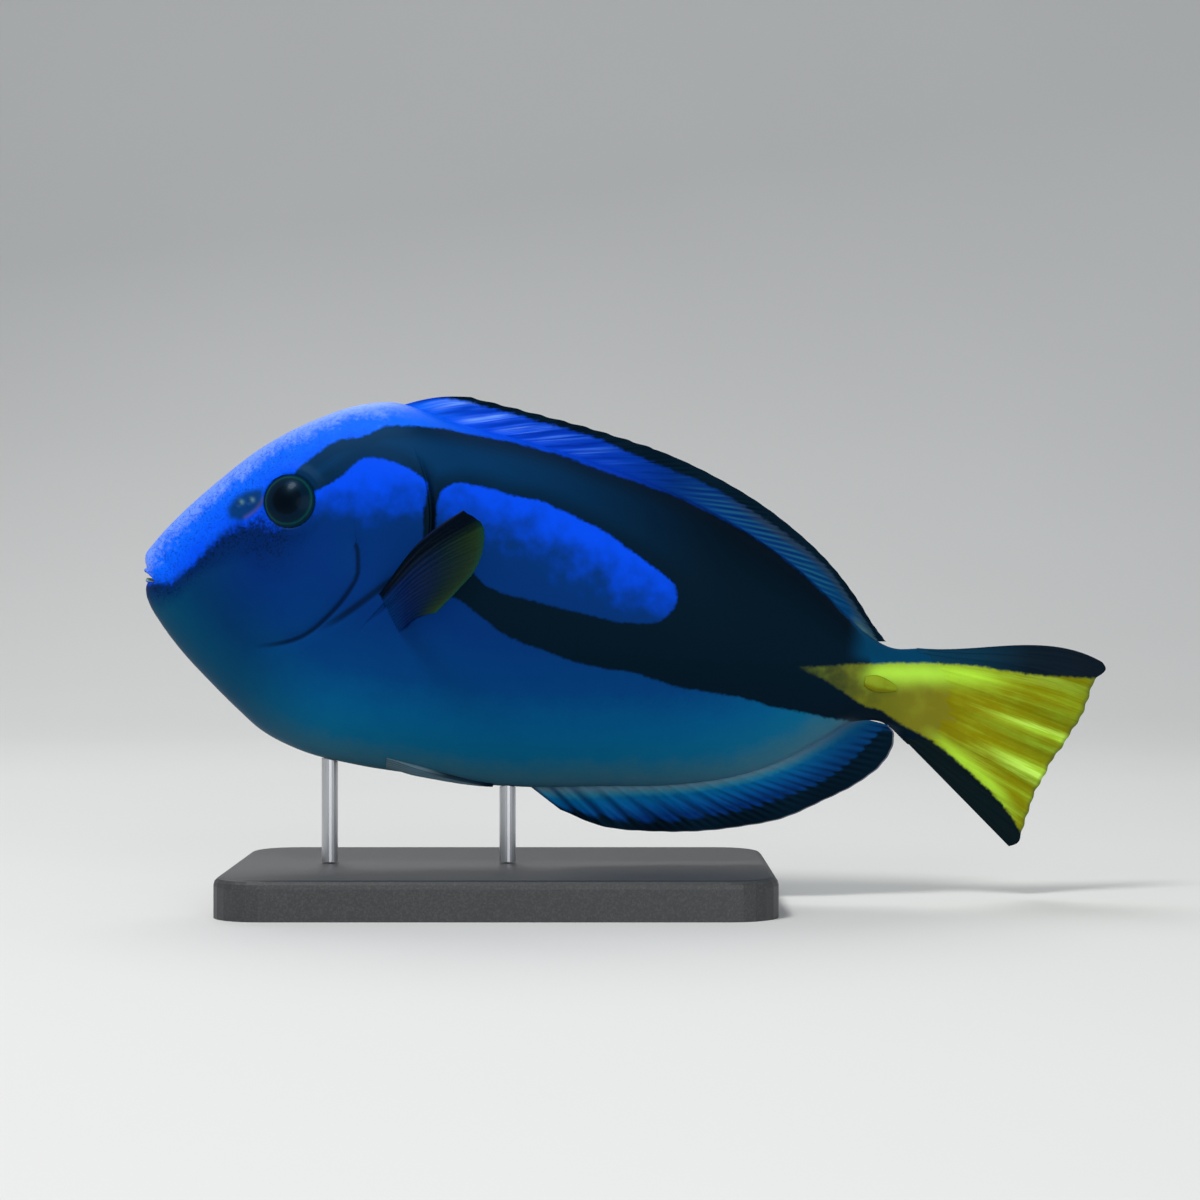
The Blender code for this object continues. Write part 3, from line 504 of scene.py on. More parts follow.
def make_piece(name, points, faces, finish, readings=None, sheet=None, sharp=60.0):
    """A closed piece from points of the straight fish, face groups, readings by name and a flat map."""
    place = posed(np.asarray(points).reshape(-1, 3))
    if volume(place, faces) < 0:
        faces = [group[:, ::-1] for group in faces]
    mesh = bpy.data.meshes.new(name)
    mesh.from_pydata(place.tolist(), [], [face for group in faces for face in group.tolist()])
    for key, values in (readings or {}).items():
        stored = mesh.attributes.new(key, "FLOAT", "POINT")
        stored.data.foreach_set("value", np.ravel(values).astype(np.float32))
    if sheet is not None:
        corner = np.empty(len(mesh.loops), np.int32)
        mesh.loops.foreach_get("vertex_index", corner)
        flat = mesh.uv_layers.new(name="rays")
        flat.data.foreach_set("uv", np.asarray(sheet, np.float32).reshape(-1, 2)[corner].ravel())
    mesh.shade_smooth()
    mesh.set_sharp_from_angle(angle=math.radians(sharp))
    mesh.materials.append(finish)
    piece = bpy.data.objects.new(name, mesh)
    bpy.context.scene.collection.objects.link(piece)
    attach(piece, "root")
    return piece


# %% [markdown]
# ## The skin as one piece
# The head, trunk and tail stem are three solids, but the living skin has no seams. One grid covers them all.
# It starts deep in the mouth, rolls round the lips, runs back over the body and ends in a thin sleeve on the
# tail fin's root, where scales run on to the rays in a real fish.

# %% Skin points
MOUTH_BACK = (1.7, -1.5)
LIP_CENTRE = (3.0, -1.6)
LIP_RADIUS, LIP_RINGS = 0.5, 12
DEEP_SHARES = [0.97, 0.8, 0.6, 0.4, 0.2]
LINED_RINGS = 12
SLEEVE_RINGS = 16
SLEEVE_LENGTH, SLEEVE_END, SLEEVE_SHRINK, SLEEVE_DROP = 8.0, 0.12, 0.02, -1.2


def whole_rings(ring):
    """Closed rings: the left side from back to belly, then the right side from belly to back."""
    side = body(ring[:, None], side_angles[None, :])
    side[:, [0, -1], 1] = 0.0
    return np.concatenate([side * (1, LEFT, 1), side[:, -2:0:-1]], axis=1)


def mouth_rings(lips):
    """Lips rolled by half a circle towards the mouth's middle, then rings shrinking to a point far inside."""
    centre = np.array([LIP_CENTRE[0], 0.0, LIP_CENTRE[1]])
    inward = (centre - lips) * (0.0, 1.0, 1.0)
    inward /= np.linalg.norm(inward, axis=1, keepdims=True)
    turns = np.radians(np.linspace(200.0, 15.0, LIP_RINGS))[:, None, None]
    forward = np.array([-1.0, 0.0, 0.0])
    rolls = lips + LIP_RADIUS * ((1 - np.cos(turns)) * inward + np.sin(turns) * forward)
    back = np.array([MOUTH_BACK[0], 0.0, MOUTH_BACK[1]])
    deep = rolls[0] + (back - rolls[0]) * np.array(DEEP_SHARES)[:, None, None]
    return np.concatenate([deep, rolls])


def sleeve_rings(last, count):
    """Rings that slide back over the fin while their width falls smoothly to a share of the stem's."""
    share = (np.arange(1, count + 1) / count)[:, None, None]
    narrow = 1 - (1 - SLEEVE_END) * smoothstep(share)
    low = 1 - SLEEVE_SHRINK * share
    middle = last.mean(axis=0)
    thin = (last - middle) * np.concatenate([np.ones_like(share), narrow, low], axis=-1) + middle
    return thin + share * (SLEEVE_LENGTH, 0.0, SLEEVE_DROP)


body_grid = whole_rings(body_rings)
skin_grid = np.concatenate([mouth_rings(body_grid[0]), body_grid, sleeve_rings(body_grid[-1], SLEEVE_RINGS)])
skin_rows, around = skin_grid.shape[:2]
side_grid = body_grid[:, SIDE_POINTS:]
print("skin grid:", skin_rows, "by", around)

# %% [markdown]
# ## Markings as distances
# The black band, the palette-shaped blue field inside it and the yellow wedge are closed outlines of a few
# dozen points. Each point of the skin stores how far it is inside each outline. Stored distances are smooth,
# so the material can draw an edge much finer than the mesh, and can fray it with a little noise.

# %% Outlines of the markings
BAND_TOP = [(28.2, 24.4), (30.8, 27.8), (32.6, 29.7), (34.4, 31.5), (36.3, 32.8), (40.3, 33.9), (42.2, 35.0),
            (44.0, 36.6), (48.1, 37.6), (56.3, 38.4), (64.7, 38.2), (73.1, 37.9), (81.6, 37.0), (90.3, 35.2),
            (98.9, 33.8), (107.5, 32.0), (116.3, 29.4), (125.2, 26.0), (134.3, 21.2), (143.7, 14.8),
            (150.8, 8.6), (153.0, 3.6), (166.0, 3.2)]  # fmt: skip
BAND_LOW = [(175.0, -18.0), (164.0, -13.5), (157.6, -8.6), (153.5, -8.4), (147.1, -8.2), (142.9, -8.1),
            (134.4, -7.7), (125.9, -6.8), (113.4, -6.6), (104.9, -5.3), (96.6, -5.1), (88.1, -4.2),
            (83.8, -3.2), (79.6, -2.4), (75.2, -1.1), (70.6, 1.7), (68.4, 2.8), (66.1, 4.1), (62.0, 5.2),
            (59.4, 9.0)]  # fmt: skip
BAND_FRONT = [(56.9, 15.4), (56.0, 20.8), (56.0, 24.3), (55.6, 26.7), (54.1, 27.9), (51.9, 28.8),
              (49.7, 29.5), (45.5, 30.2), (43.4, 30.1), (41.5, 29.2), (39.7, 27.3), (38.0, 25.3),
              (36.2, 23.6), (33.0, 21.2)]  # fmt: skip
PALETTE = [(59.2, 17.5), (58.8, 20.5), (58.6, 24.1), (59.2, 26.1), (60.5, 27.0), (66.6, 27.8),
           (70.8, 27.2), (79.2, 26.6), (87.8, 24.3), (92.1, 22.9), (96.6, 20.9), (101.1, 18.6),
           (105.6, 16.2), (109.3, 13.5), (110.0, 11.2), (109.2, 8.6), (107.2, 6.3), (103.2, 5.3),
           (99.1, 4.8), (94.9, 5.2), (86.6, 5.9), (78.2, 6.5), (74.0, 7.0), (69.6, 8.8), (67.8, 10.6),
           (66.4, 12.6), (61.0, 14.0)]  # fmt: skip
YELLOW_TOP = [(136.5, 1.2), (152.0, 4.4), (167.1, 6.7), (175.7, 7.4), (184.5, 7.3), (198.0, 8.4),
              (208.0, 9.4)]  # fmt: skip
YELLOW_LOW = [(197.0, -37.0), (190.5, -26.6), (184.6, -20.3), (179.7, -16.8), (174.8, -13.7),
              (167.6, -9.6), (161.9, -7.7), (156.1, -5.2), (151.7, -4.4), (147.0, -2.1),
              (142.4, -0.3)]  # fmt: skip
LIGHT_LINE = [(0.0, -2.0), (6.7, -0.6), (9.9, 2.6), (11.6, 5.0), (14.2, 8.4), (16.8, 11.3), (21.5, 14.0),
              (26.0, 14.8), (33.1, 18.6), (41.3, 20.2), (45.0, 21.0), (50.0, 22.6), (56.0, 23.2),
              (66.0, 22.5), (75.0, 21.0), (85.0, 18.4), (95.0, 15.4), (104.0, 12.0),
              (111.0, 10.5)]  # fmt: skip
LIGHT_BLUR = [(0.0, 1.3), (18.0, 2.2), (28.0, 3.6), (40.0, 5.0), (60.0, 5.5), (75.0, 6.5), (111.0, 7.0)]
NOSTRIL_PATCH = [(15.6, 15.2), (16.6, 17.5), (18.9, 19.4), (22.3, 20.4), (23.0, 17.0), (18.9, 13.2),
                 (16.3, 13.4)]  # fmt: skip
TAN_STREAK = [(22.9, 18.4), (21.6, 15.9), (19.6, 14.0)]


def inside(u, v, outline):
    """Signed distance to a closed outline, plus inside: the least distance to its pieces, with the sign from
    how often a level line to the right crosses it."""
    outline = np.asarray(outline)
    after = np.roll(outline, -1, axis=0)
    crossed = np.zeros(np.shape(u), bool)
    for (u0, v0), (u1, v1) in zip(outline, after):
        if v0 != v1:
            crossed ^= ((v0 > v) != (v1 > v)) & (u < (u1 - u0) * (v - v0) / (v1 - v0) + u0)
    return np.where(crossed, 1.0, -1.0) * line_distance(u, v, np.concatenate([outline, outline[:1]]))


def rounded(corners, count):
    """The smooth curve through the corners, as many points."""
    return along(corners, np.linspace(0.0, 1.0, count))


band_outline = np.concatenate([rounded(BAND_TOP, 90), rounded(BAND_LOW, 60), rounded(BAND_FRONT, 50)])
palette_outline = rounded(PALETTE + PALETTE[:1], 100)[:-1]
yellow_outline = np.concatenate([rounded(YELLOW_TOP, 40), rounded(YELLOW_LOW, 50)])


def painted_yellow_highlight(u, v):
    """Painted highlight on the yellow: a bell under its upper edge over the stem, and one along its lower
    edge.
    """
    upper = hump(line_distance(u, v, yellow_outline[:40]) - 2.2, 2.4)
    upper = upper * smoothstep((u - 149.0) / 6.0) * smoothstep((188.0 - u) / 16.0)
    lower = hump(line_distance(u, v, yellow_outline[40:]) - 1.0, 1.6)
    lower = lower * smoothstep((u - 164.0) / 10.0) * smoothstep((191.0 - u) / 9.0)
    return np.maximum(upper, 0.8 * lower)


def markings(u, v):
    """Readings for the materials, in mm: depth inside each marking, height over the line between the painted
    light and the painted shade on the blue in units of its blur, and distances from the outlines and the
    creases. The nostrils' patch, the pale dots by them, the tan streak and the painted highlight on the
    yellow are shares from
    0 to 1."""
    top = body_line(TOP_LINE, TOP_GILL_POINT, np.linspace(0.0, TAIL_BASE, 400))
    belly = body_line(BELLY_LINE, BELLY_GILL_POINT, np.linspace(0.0, TAIL_BASE, 400))
    palette = inside(u, v, palette_outline)
    patch = smoothstep(inside(u, v, NOSTRIL_PATCH) / 1.6 + 0.5)
    pale = np.zeros(np.shape(u))
    for nostril_u, nostril_v in NOSTRILS:
        pale = np.maximum(pale, hump(np.hypot(u - nostril_u - 0.5, v - nostril_v - 0.5), 0.5))
    return {
        "band": np.minimum(inside(u, v, band_outline), -palette),
        "yellow": inside(u, v, yellow_outline),
        "lit": (v - table(LIGHT_LINE, np.clip(u, 0.0, 111.0))) / table(LIGHT_BLUR, np.clip(u, 0.0, 111.0)),
        "belly": line_distance(u, v, belly),
        "crown": line_distance(u, v, top[4:]),
        "cheek": side_distance(u, v, rounded(CHEEK_LINE, 40)),
        "fold": side_distance(u, v, rounded(FOLD_LINE, 30)),
        "patch": patch,
        "pale": pale,
        "tan": hump(line_distance(u, v, rounded(TAN_STREAK, 12)), 0.4),
        "gold_highlight": painted_yellow_highlight(u, v),
        "length": u,
        "height": v,
    }


skin_readings = markings(skin_grid[..., 0], skin_grid[..., 2])
in_mouth = (np.arange(skin_rows) < LINED_RINGS)[:, None] * 1.0
skin_readings["mouth"] = np.broadcast_to(in_mouth, (skin_rows, around))
print("readings:", ", ".join(skin_readings))

# %% [markdown]
# ## The skin's finish
# The colours run from a lavender highlight on the forehead, mostly painted light, through royal blue to teal
# and a greyed silver at the belly's edge. Light and shade are painted too: a darker blue below a line from
# the snout to the palette, a navy sheen inside the black band, and shade along the cheek's crease. Dark
# speckles lie over the snout. Real surgeonfish skin is fine and satin, like suede, because its scales are
# tiny, so the bump is very small and the gloss is soft.

# %% Skin material
ROYAL = paint(0, 70, 230)
SHADE_BLUE = paint(0, 26, 82)
HIGHLIGHT_LAVENDER = paint(128, 164, 255)
BLACK = paint(0, 5, 12)
SATIN_TINT = (0.12, 0.5, 1.0, 1.0)
HIGHLIGHT_GOLD = paint(176, 226, 60)


def gold(tree, place, streak):
    """Dark ochre at the wedge's tip to yellow on the tail, mixed to the pale green of a painted highlight by
    its share.
    """
    cloud = noise(tree, place, 260.0, 3.0)
    cloud = arith(tree, "SUBTRACT", cloud, 0.5)
    length = arith(tree, "MULTIPLY_ADD", cloud, 16.0, reading(tree, "length"))
    ochre = ramp(tree, length, [
        (136.0, paint(24, 32, 6)), (144.0, paint(62, 68, 2)), (154.0, paint(110, 112, 0)),
        (168.0, paint(126, 120, 0)), (180.0, paint(132, 130, 0)), (202.0, paint(118, 122, 0))])  # fmt: skip
    return mix(tree, arith(tree, "MULTIPLY_ADD", cloud, 0.3, streak, clamp=True), ochre, HIGHLIGHT_GOLD)


def crest_blue(tree):
    """The blue of the strip along the back, which the dorsal fin carries on."""
    return ramp(tree, reading(tree, "length"), [
        (45.0, paint(10, 104, 240)), (66.0, paint(0, 74, 224)), (92.0, paint(0, 50, 168)),
        (106.0, paint(0, 38, 112)), (130.0, paint(0, 36, 92)), (146.0, paint(0, 52, 96)),
        (156.0, paint(0, 66, 96))])  # fmt: skip


def skin_finish():
    finish, tree, shader = new_finish("tang skin", 0.5, gloss=0.2, gloss_tint=SATIN_TINT)
    place = object_place(tree)
    blotch = noise(tree, place, 240.0, 3.0)
    fray = noise(tree, place, 1100.0, 3.0, 0.6)
    fine = noise(tree, place, 2300.0, 2.0, 0.5)
    grain = noise(tree, place, 3600.0, 2.0, 0.6)
    near = arith(tree, "SUBTRACT", arith(tree, "ADD", blotch, fray), 1.0)
    belly = arith(tree, "MULTIPLY_ADD", near, 3.0, reading(tree, "belly"))
    # Colours below the painted light line, by the distance from the belly: the belly's own teal and greyed
    # silver near its edge, and a darker blue higher up that is painted shade. The throat's ramp does the same
    # further forward.
    low = ramp(tree, belly, [
        (0.0, paint(58, 104, 124)), (3.0, paint(42, 100, 124)), (6.5, paint(6, 94, 132)),
        (12.0, paint(0, 84, 132)), (20.0, paint(0, 58, 116)), (32.0, paint(0, 42, 108))])  # fmt: skip
    throat = ramp(tree, belly, [
        (0.0, paint(10, 66, 92)), (5.0, paint(0, 60, 92)), (12.0, paint(0, 44, 88)),
        (24.0, paint(0, 36, 104))])  # fmt: skip
    low = mix(tree, within(tree, "length", 46.0, 20.0), low, throat)
    snout = within(tree, "length", 36.0, 25.0)
    # Painted shade: a darker blue on the snout beneath the painted light line.
    under = step(tree, arith(tree, "MULTIPLY_ADD", near, 1.6, reading(tree, "lit")), -4.6, -0.8)
    low = mix(tree, times(tree, under, snout, 0.9), low, SHADE_BLUE)
    spots = times(tree, step(tree, fine, 0.54, 0.62), within(tree, "lit", -4.5, -1.0), snout, 0.8)
    low = mix(tree, spots, low, paint(0, 8, 36))
    cloud = arith(tree, "SUBTRACT", blotch, 0.5)
    lit = arith(tree, "MULTIPLY_ADD", cloud, 2.2, reading(tree, "lit"))
    lit = arith(tree, "MULTIPLY_ADD", times(tree, arith(tree, "SUBTRACT", fray, 0.5), snout), 3.2, lit)
    # Painted light and shade on the face and the palette: royal blue above the painted light line, the shaded
    # blues below it.
    upper = mix(tree, step(tree, lit, -1.1, 1.0), low, ROYAL)
    crown = arith(tree, "MULTIPLY_ADD", near, 5.0, reading(tree, "crown"))
    above = within(tree, "lit", -0.9, 0.6)
    # Mostly painted highlight, partly the forehead's own paler blue: azure along the forehead and lavender
    # nearest its top edge.
    azure_highlight = times(tree, step(tree, crown, 11.0, 3.0), within(tree, "length", 64.0, 44.0), above, 0.7)
    upper = mix(tree, azure_highlight, upper, paint(10, 104, 250))
    forehead_highlight = times(tree, step(tree, crown, 4.2, 0.4), within(tree, "length", 58.0, 40.0), above, 0.7)
    upper = mix(tree, forehead_highlight, upper, HIGHLIGHT_LAVENDER)
    speck = times(tree, step(tree, fine, 0.52, 0.66), step(tree, crown, 13.0, 5.0))
    speck = times(tree, speck, within(tree, "length", 44.0, 20.0), above, 0.5)
    upper = mix(tree, speck, upper, paint(0, 44, 160))
    ridge = times(tree, within(tree, "length", 44.0, 54.0), within(tree, "crown", 7.0, 4.0))
    upper = mix(tree, ridge, upper, crest_blue(tree))
    # Painted sheen: navy blue inside the black band along the back, even over its front part.
    core = arith(tree, "MULTIPLY_ADD", within(tree, "band", 0.2, 4.5), 0.6, 0.4)
    core = arith(tree, "MAXIMUM", core, times(tree, within(tree, "length", 60.0, 48.0), 0.65))
    painted_sheen = times(tree, step(tree, crown, 20.0, 10.0), core, within(tree, "length", 122.0, 58.0))
    back = mix(tree, painted_sheen, BLACK, paint(0, 44, 84))
    band = arith(tree, "MULTIPLY_ADD", near, 0.9, reading(tree, "band"))
    colour = mix(tree, step(tree, band, -0.35, 0.4), upper, back)
    teal = times(tree, within(tree, "length", 146.0, 152.0), within(tree, "height", 3.4, 6.4))
    colour = mix(tree, teal, colour, paint(0, 56, 88))
    keel = times(tree, within(tree, "length", 146.0, 152.0), within(tree, "length", 162.0, 156.0))
    keel = times(tree, keel, within(tree, "height", -7.0, -9.0), 0.6)
    colour = mix(tree, keel, colour, paint(70, 84, 96))
    wedge = arith(tree, "MULTIPLY_ADD", near, 0.8, reading(tree, "yellow"))
    # The yellow wedge, with its painted highlight.
    colour = mix(tree, step(tree, wedge, -0.3, 0.5), colour, gold(tree, place, reading(tree, "gold_highlight")))
    colour = mix(tree, times(tree, reading(tree, "patch"), 0.85), colour, paint(3, 42, 54))
    colour = mix(tree, times(tree, reading(tree, "tan"), 0.3), colour, paint(96, 84, 64))
    colour = mix(tree, times(tree, reading(tree, "pale"), 0.5), colour, paint(112, 160, 160))
    # Painted shade: dark blue along the cheek's crease and along the fold behind the gill cover.
    cheek = step(tree, arith(tree, "ABSOLUTE", reading(tree, "cheek")), 0.75, 0.1)
    cheek = times(tree, cheek, within(tree, "length", 24.0, 33.0))
    fold = step(tree, arith(tree, "ABSOLUTE", reading(tree, "fold")), 1.1, 0.15)
    fold = times(tree, fold, within(tree, "length", 37.0, 44.0))
    painted_crease_shade = arith(tree, "MAXIMUM", cheek, fold)
    colour = mix(tree, times(tree, painted_crease_shade, 0.85), colour, paint(0, 8, 34))
    lining = mix(tree, within(tree, "height", -1.0, -1.5), paint(4, 16, 34), paint(120, 142, 132))
    colour = mix(tree, reading(tree, "mouth"), colour, lining)
    tree.links.new(colour, shader.inputs["Base Color"])
    tree.links.new(arith(tree, "MULTIPLY_ADD", grain, 0.16, 0.42), shader.inputs["Roughness"])
    scales = add(tree, "TexVoronoi")
    feed(tree, scales.inputs["Vector"], place)
    scales.inputs["Scale"].default_value = 1500.0
    bump(tree, shader, arith(tree, "MULTIPLY_ADD", grain, 0.4, scales.outputs["Distance"]), 0.14, 0.04)
    return finish


skin_faces = [grid_faces(skin_rows, around, closed=True)]
front_point, rear_point = skin_rows * around, skin_rows * around + 1
column = np.arange(around)
after = (column + 1) % around
skin_faces.append(np.stack([after, column, np.full(around, front_point)], axis=1))
last = (skin_rows - 1) * around
skin_faces.append(np.stack([last + column, last + after, np.full(around, rear_point)], axis=1))
ends = np.array([skin_grid[0].mean(axis=0), skin_grid[-1].mean(axis=0)])
skin_points = np.concatenate([skin_grid.reshape(-1, 3), ends])
skin_values = {key: np.concatenate([np.ravel(value), [np.ravel(value)[0], np.ravel(value)[-1]]])
               for key, value in skin_readings.items()}  # fmt: skip
skin = make_piece("skin", skin_points, skin_faces, skin_finish(), skin_values, sharp=80.0)
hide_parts("head", "torso", "tail_stem")
print("skin:", len(skin.data.vertices), "points,", len(skin.data.polygons), "faces")

# %% [markdown]
# ## Eyes
# A surgeonfish's eye is a dark lens in a nearly black iris, with a thin green ring at its edge, under a clear
# wet skin. One flattened ball is enough: its front is drawn out a little for the lens, the rings are coloured
# by the distance from its axis, and a clear coat gives the wet shine.

# %% Eyes
EYE_RADIUS, EYE_HALF_DEPTH, EYE_SUNK = 6.3, 3.4, 1.9
EYE_ROWS, EYE_SIDES = 90, 128
SOCKET_REACH, LENS_RISE, LENS_RADIUS = 7.6, 0.25, 3.2


def flank(u, v):
    """Half-width of the body at (u, v): the mean of the nearest skin points, weighted by nearness."""
    u, v = np.atleast_1d(u), np.atleast_1d(v)
    away = np.hypot(side_points[:, 0] - u[:, None], side_points[:, 2] - v[:, None])
    near = np.argpartition(away, 4, axis=1)[:, :4]
    weight = 1 / (np.take_along_axis(away, near, axis=1) + 0.01)
    return (side_points[near, 1] * weight).sum(axis=1) / weight.sum(axis=1)


side_points = side_grid.reshape(-1, 3)


def eye_place(side):
    """Centre and outward axis: the mean of the skin's heights on a circle round the eye gives both."""
    turns = np.linspace(0.0, 2 * math.pi, 16, endpoint=False)
    heights = flank(EYE_U + SOCKET_REACH * np.cos(turns), EYE_V + SOCKET_REACH * np.sin(turns))
    slope_u = 2 * (heights * np.cos(turns)).mean() / SOCKET_REACH
    slope_v = 2 * (heights * np.sin(turns)).mean() / SOCKET_REACH
    axis = np.array([-slope_u, 1.0, -slope_v]) / math.sqrt(1 + slope_u**2 + slope_v**2)
    centre = np.array([EYE_U, heights.mean() + 0.1, EYE_V]) - axis * (EYE_SUNK - 0.35)
    return centre * (1, side, 1), axis * (1, side, 1)


def eyeball(side):
    """Flattened ball: radius times the sine of the polar angle across, half-depth times its cosine along the
    axis, with a bell added in front for the lens."""
    centre, axis = eye_place(side)
    across = np.cross(axis, (0.0, 0.0, 1.0))
    across /= np.linalg.norm(across)
    up = np.cross(across, axis)
    polar = np.linspace(0.0, math.pi, EYE_ROWS)[1:-1, None]
    turn = np.linspace(0.0, 2 * math.pi, EYE_SIDES, endpoint=False)[None, :]
    reach = EYE_RADIUS * np.sin(polar) * np.ones_like(turn)
    depth = EYE_HALF_DEPTH * np.cos(polar) + LENS_RISE * hump(reach, LENS_RADIUS) * (polar < math.pi / 2)
    grid = (centre + (reach * np.cos(turn))[..., None] * across + (reach * np.sin(turn))[..., None] * up
            + depth[..., None] * axis)  # fmt: skip
    tips = np.array([centre + (EYE_HALF_DEPTH + LENS_RISE) * axis, centre - EYE_HALF_DEPTH * axis])
    return grid, tips, reach


def eye_finish():
    finish, tree, shader = new_finish("wet eye", 0.35, gloss=0.1, gloss_tint=SATIN_TINT)
    place = object_place(tree)
    fleck = noise(tree, place, 1500.0, 3.0)
    off = arith(tree, "MULTIPLY_ADD", arith(tree, "SUBTRACT", fleck, 0.5), 0.25, reading(tree, "off_axis"))
    rings = ramp(tree, off, [(0.0, paint(1, 4, 10)), (2.9, paint(1, 6, 14)), (3.2, paint(1, 18, 36)),
                             (4.5, paint(1, 24, 40)), (4.75, paint(3, 44, 48)), (4.95, paint(6, 62, 60)),
                             (5.15, paint(2, 34, 48)), (6.4, paint(1, 14, 30))])  # fmt: skip
    tree.links.new(rings, shader.inputs["Base Color"])
    shader.inputs["Coat Weight"].default_value = 0.1
    shader.inputs["Coat Roughness"].default_value = 0.14
    shader.inputs["Coat IOR"].default_value = 1.3
    bump(tree, shader, fleck, 0.15, 0.05)
    return finish


def build_eyes():
    finish = eye_finish()
    rows = EYE_ROWS - 2
    column = np.arange(EYE_SIDES)
    after = (column + 1) % EYE_SIDES
    for side, word in ((LEFT, "left"), (RIGHT, "right")):
        grid, tips, reach = eyeball(side)
        front, back = rows * EYE_SIDES, rows * EYE_SIDES + 1
        faces = [grid_faces(rows, EYE_SIDES, closed=True),
                 np.stack([after, column, np.full(EYE_SIDES, front)], axis=1),
                 np.stack([front - EYE_SIDES + column, front - EYE_SIDES + after,
                           np.full(EYE_SIDES, back)], axis=1)]  # fmt: skip
        points = np.concatenate([grid.reshape(-1, 3), tips])
        readings = {"off_axis": np.append(reach.ravel(), [0, 0])}
        piece = make_piece(f"eyeball_{word}", points, faces, finish, readings)
        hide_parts(f"eye_{word}")
        print(piece.name, "stands at", np.round(grid.mean(axis=(0, 1)), 1), "mm")


build_eyes()

# %% [markdown]
# ## A rayed fin in general
# A fin is a membrane held out by rays. Its middle surface runs from a line on the body to the outer edge. The
# thickness is a thin sheet, thicker at the fleshy root, with a bell on each ray. Soft rays fork twice on the
# way out, which is one line of code: the distance to the nearest ray is folded over again.

# %% Fin helpers
def ray_bells(across, out, rays, spines=0, thin=0.16):
    """Height 0 to 1 of the rays. The distance to the nearest ray is folded at each fork, and a fork opens
    from nothing at its start to a share of the ray's spacing at the edge. Spines stay single."""
    place = across * (rays + spines - 1)
    away = np.abs(place - np.round(place))
    soft = place > spines - 0.5
    first = np.where(soft, 0.24 * smoothstep((out - 0.3) / 0.5), 0.0)
    second = np.where(soft, 0.11 * smoothstep((out - 0.6) / 0.4), 0.0)
    forked = np.abs(np.abs(away - first) - second)
    width = np.where(soft, thin * (1 - 0.55 * smoothstep((out - 0.2) / 0.8)), 1.3 * thin * (1 - 0.45 * out))
    return hump(forked, np.broadcast_to(width, forked.shape))


def sheet_piece(name, middle, half, normal, finish, readings, flat, sharp=75.0):
    """Closed sheet: the middle surface plus and minus the half-thickness along its normal, and a rim."""
    columns, rows = half.shape
    count = columns * rows
    points = np.concatenate([(middle + normal * half[..., None]).reshape(-1, 3),
                             (middle - normal * half[..., None]).reshape(-1, 3)])  # fmt: skip
    number = np.arange(count).reshape(columns, rows)
    border = np.concatenate([number[0], number[1:, -1], number[-1, -2::-1], number[-2:0:-1, 0]])
    after = np.roll(border, -1)
    top = grid_faces(columns, rows, closed=False)
    faces = [top, count + top[:, ::-1], np.stack([after, border, count + border, count + after], axis=1)]
    twice = {key: np.concatenate([np.ravel(value), np.ravel(value)]) for key, value in readings.items()}
    flat = np.asarray(flat).reshape(-1, 2)
    return make_piece(name, points, faces, finish, twice, np.concatenate([flat, flat]), sharp)


def stripes(tree, per_ray, centre, half_width, wobble=0.0):
    """Strokes along the rays: 1 in the middle of a stroke and 0 past its half-width, in rays' spacings. The
    count of rays passed, read from the flat map, is folded at each whole number."""
    split = add(tree, "SeparateXYZ")
    tree.links.new(add(tree, "UVMap", uv_map="rays").outputs["UV"], split.inputs[0])
    place = arith(tree, "MULTIPLY_ADD", split.outputs[0], per_ray, -centre)
    if wobble:
        sway = arith(tree, "SUBTRACT", noise(tree, stroke_place(tree, 0.8, 0.9), 1.0, 2.0), 0.5)
        place = arith(tree, "MULTIPLY_ADD", sway, wobble, place)
    return step(tree, arith(tree, "PINGPONG", place, 0.5), half_width, 0.0)


def stroke_place(tree, across_scale, out_scale):
    """Place on the flat map, drawn out along the rays."""
    made = add(tree, "Mapping")
    tree.links.new(add(tree, "UVMap", uv_map="rays").outputs["UV"], made.inputs["Vector"])
    made.inputs["Scale"].default_value = (across_scale, out_scale, 1.0)
    return made.outputs["Vector"]


def fin_finish(name, gloss=0.16, gloss_tint=SATIN_TINT):
    """A satin finish with a grained surface, and fine strokes along the rays."""
    finish, tree, shader = new_finish(name, 0.42, gloss=gloss, gloss_tint=gloss_tint)
    hair = noise(tree, stroke_place(tree, 3.2, 0.5), 1.0, 3.0, 0.6)
    bump(tree, shader, noise(tree, stroke_place(tree, 6.0, 1.6), 2.0, 3.0), 0.25, 0.06)
    return finish, tree, shader, hair


def fraying(tree):
    """A noise from -0.5 to 0.5 that frays the edges of the markings."""
    return arith(tree, "SUBTRACT", noise(tree, object_place(tree), 900.0, 3.0), 0.5)


def ray_map(across, out, rays, length_mm):
    """Flat map: how many rays have been passed, and how far out along the ray in units of 10 mm."""
    return np.stack(np.broadcast_arrays(across * (rays - 1), out * length_mm / 10.0), axis=-1)


# %% [markdown]
# ## Dorsal and anal fins
# Both stand in the fish's middle plane. The dorsal spines lie back, and the light on their flanks is painted
# as long pale feathery streaks, with painted shade between them at the root; the edge is black. The anal fin
# has a grey band at its root, then blue strokes between the rays and a black edge with a hair-thin pale rim.

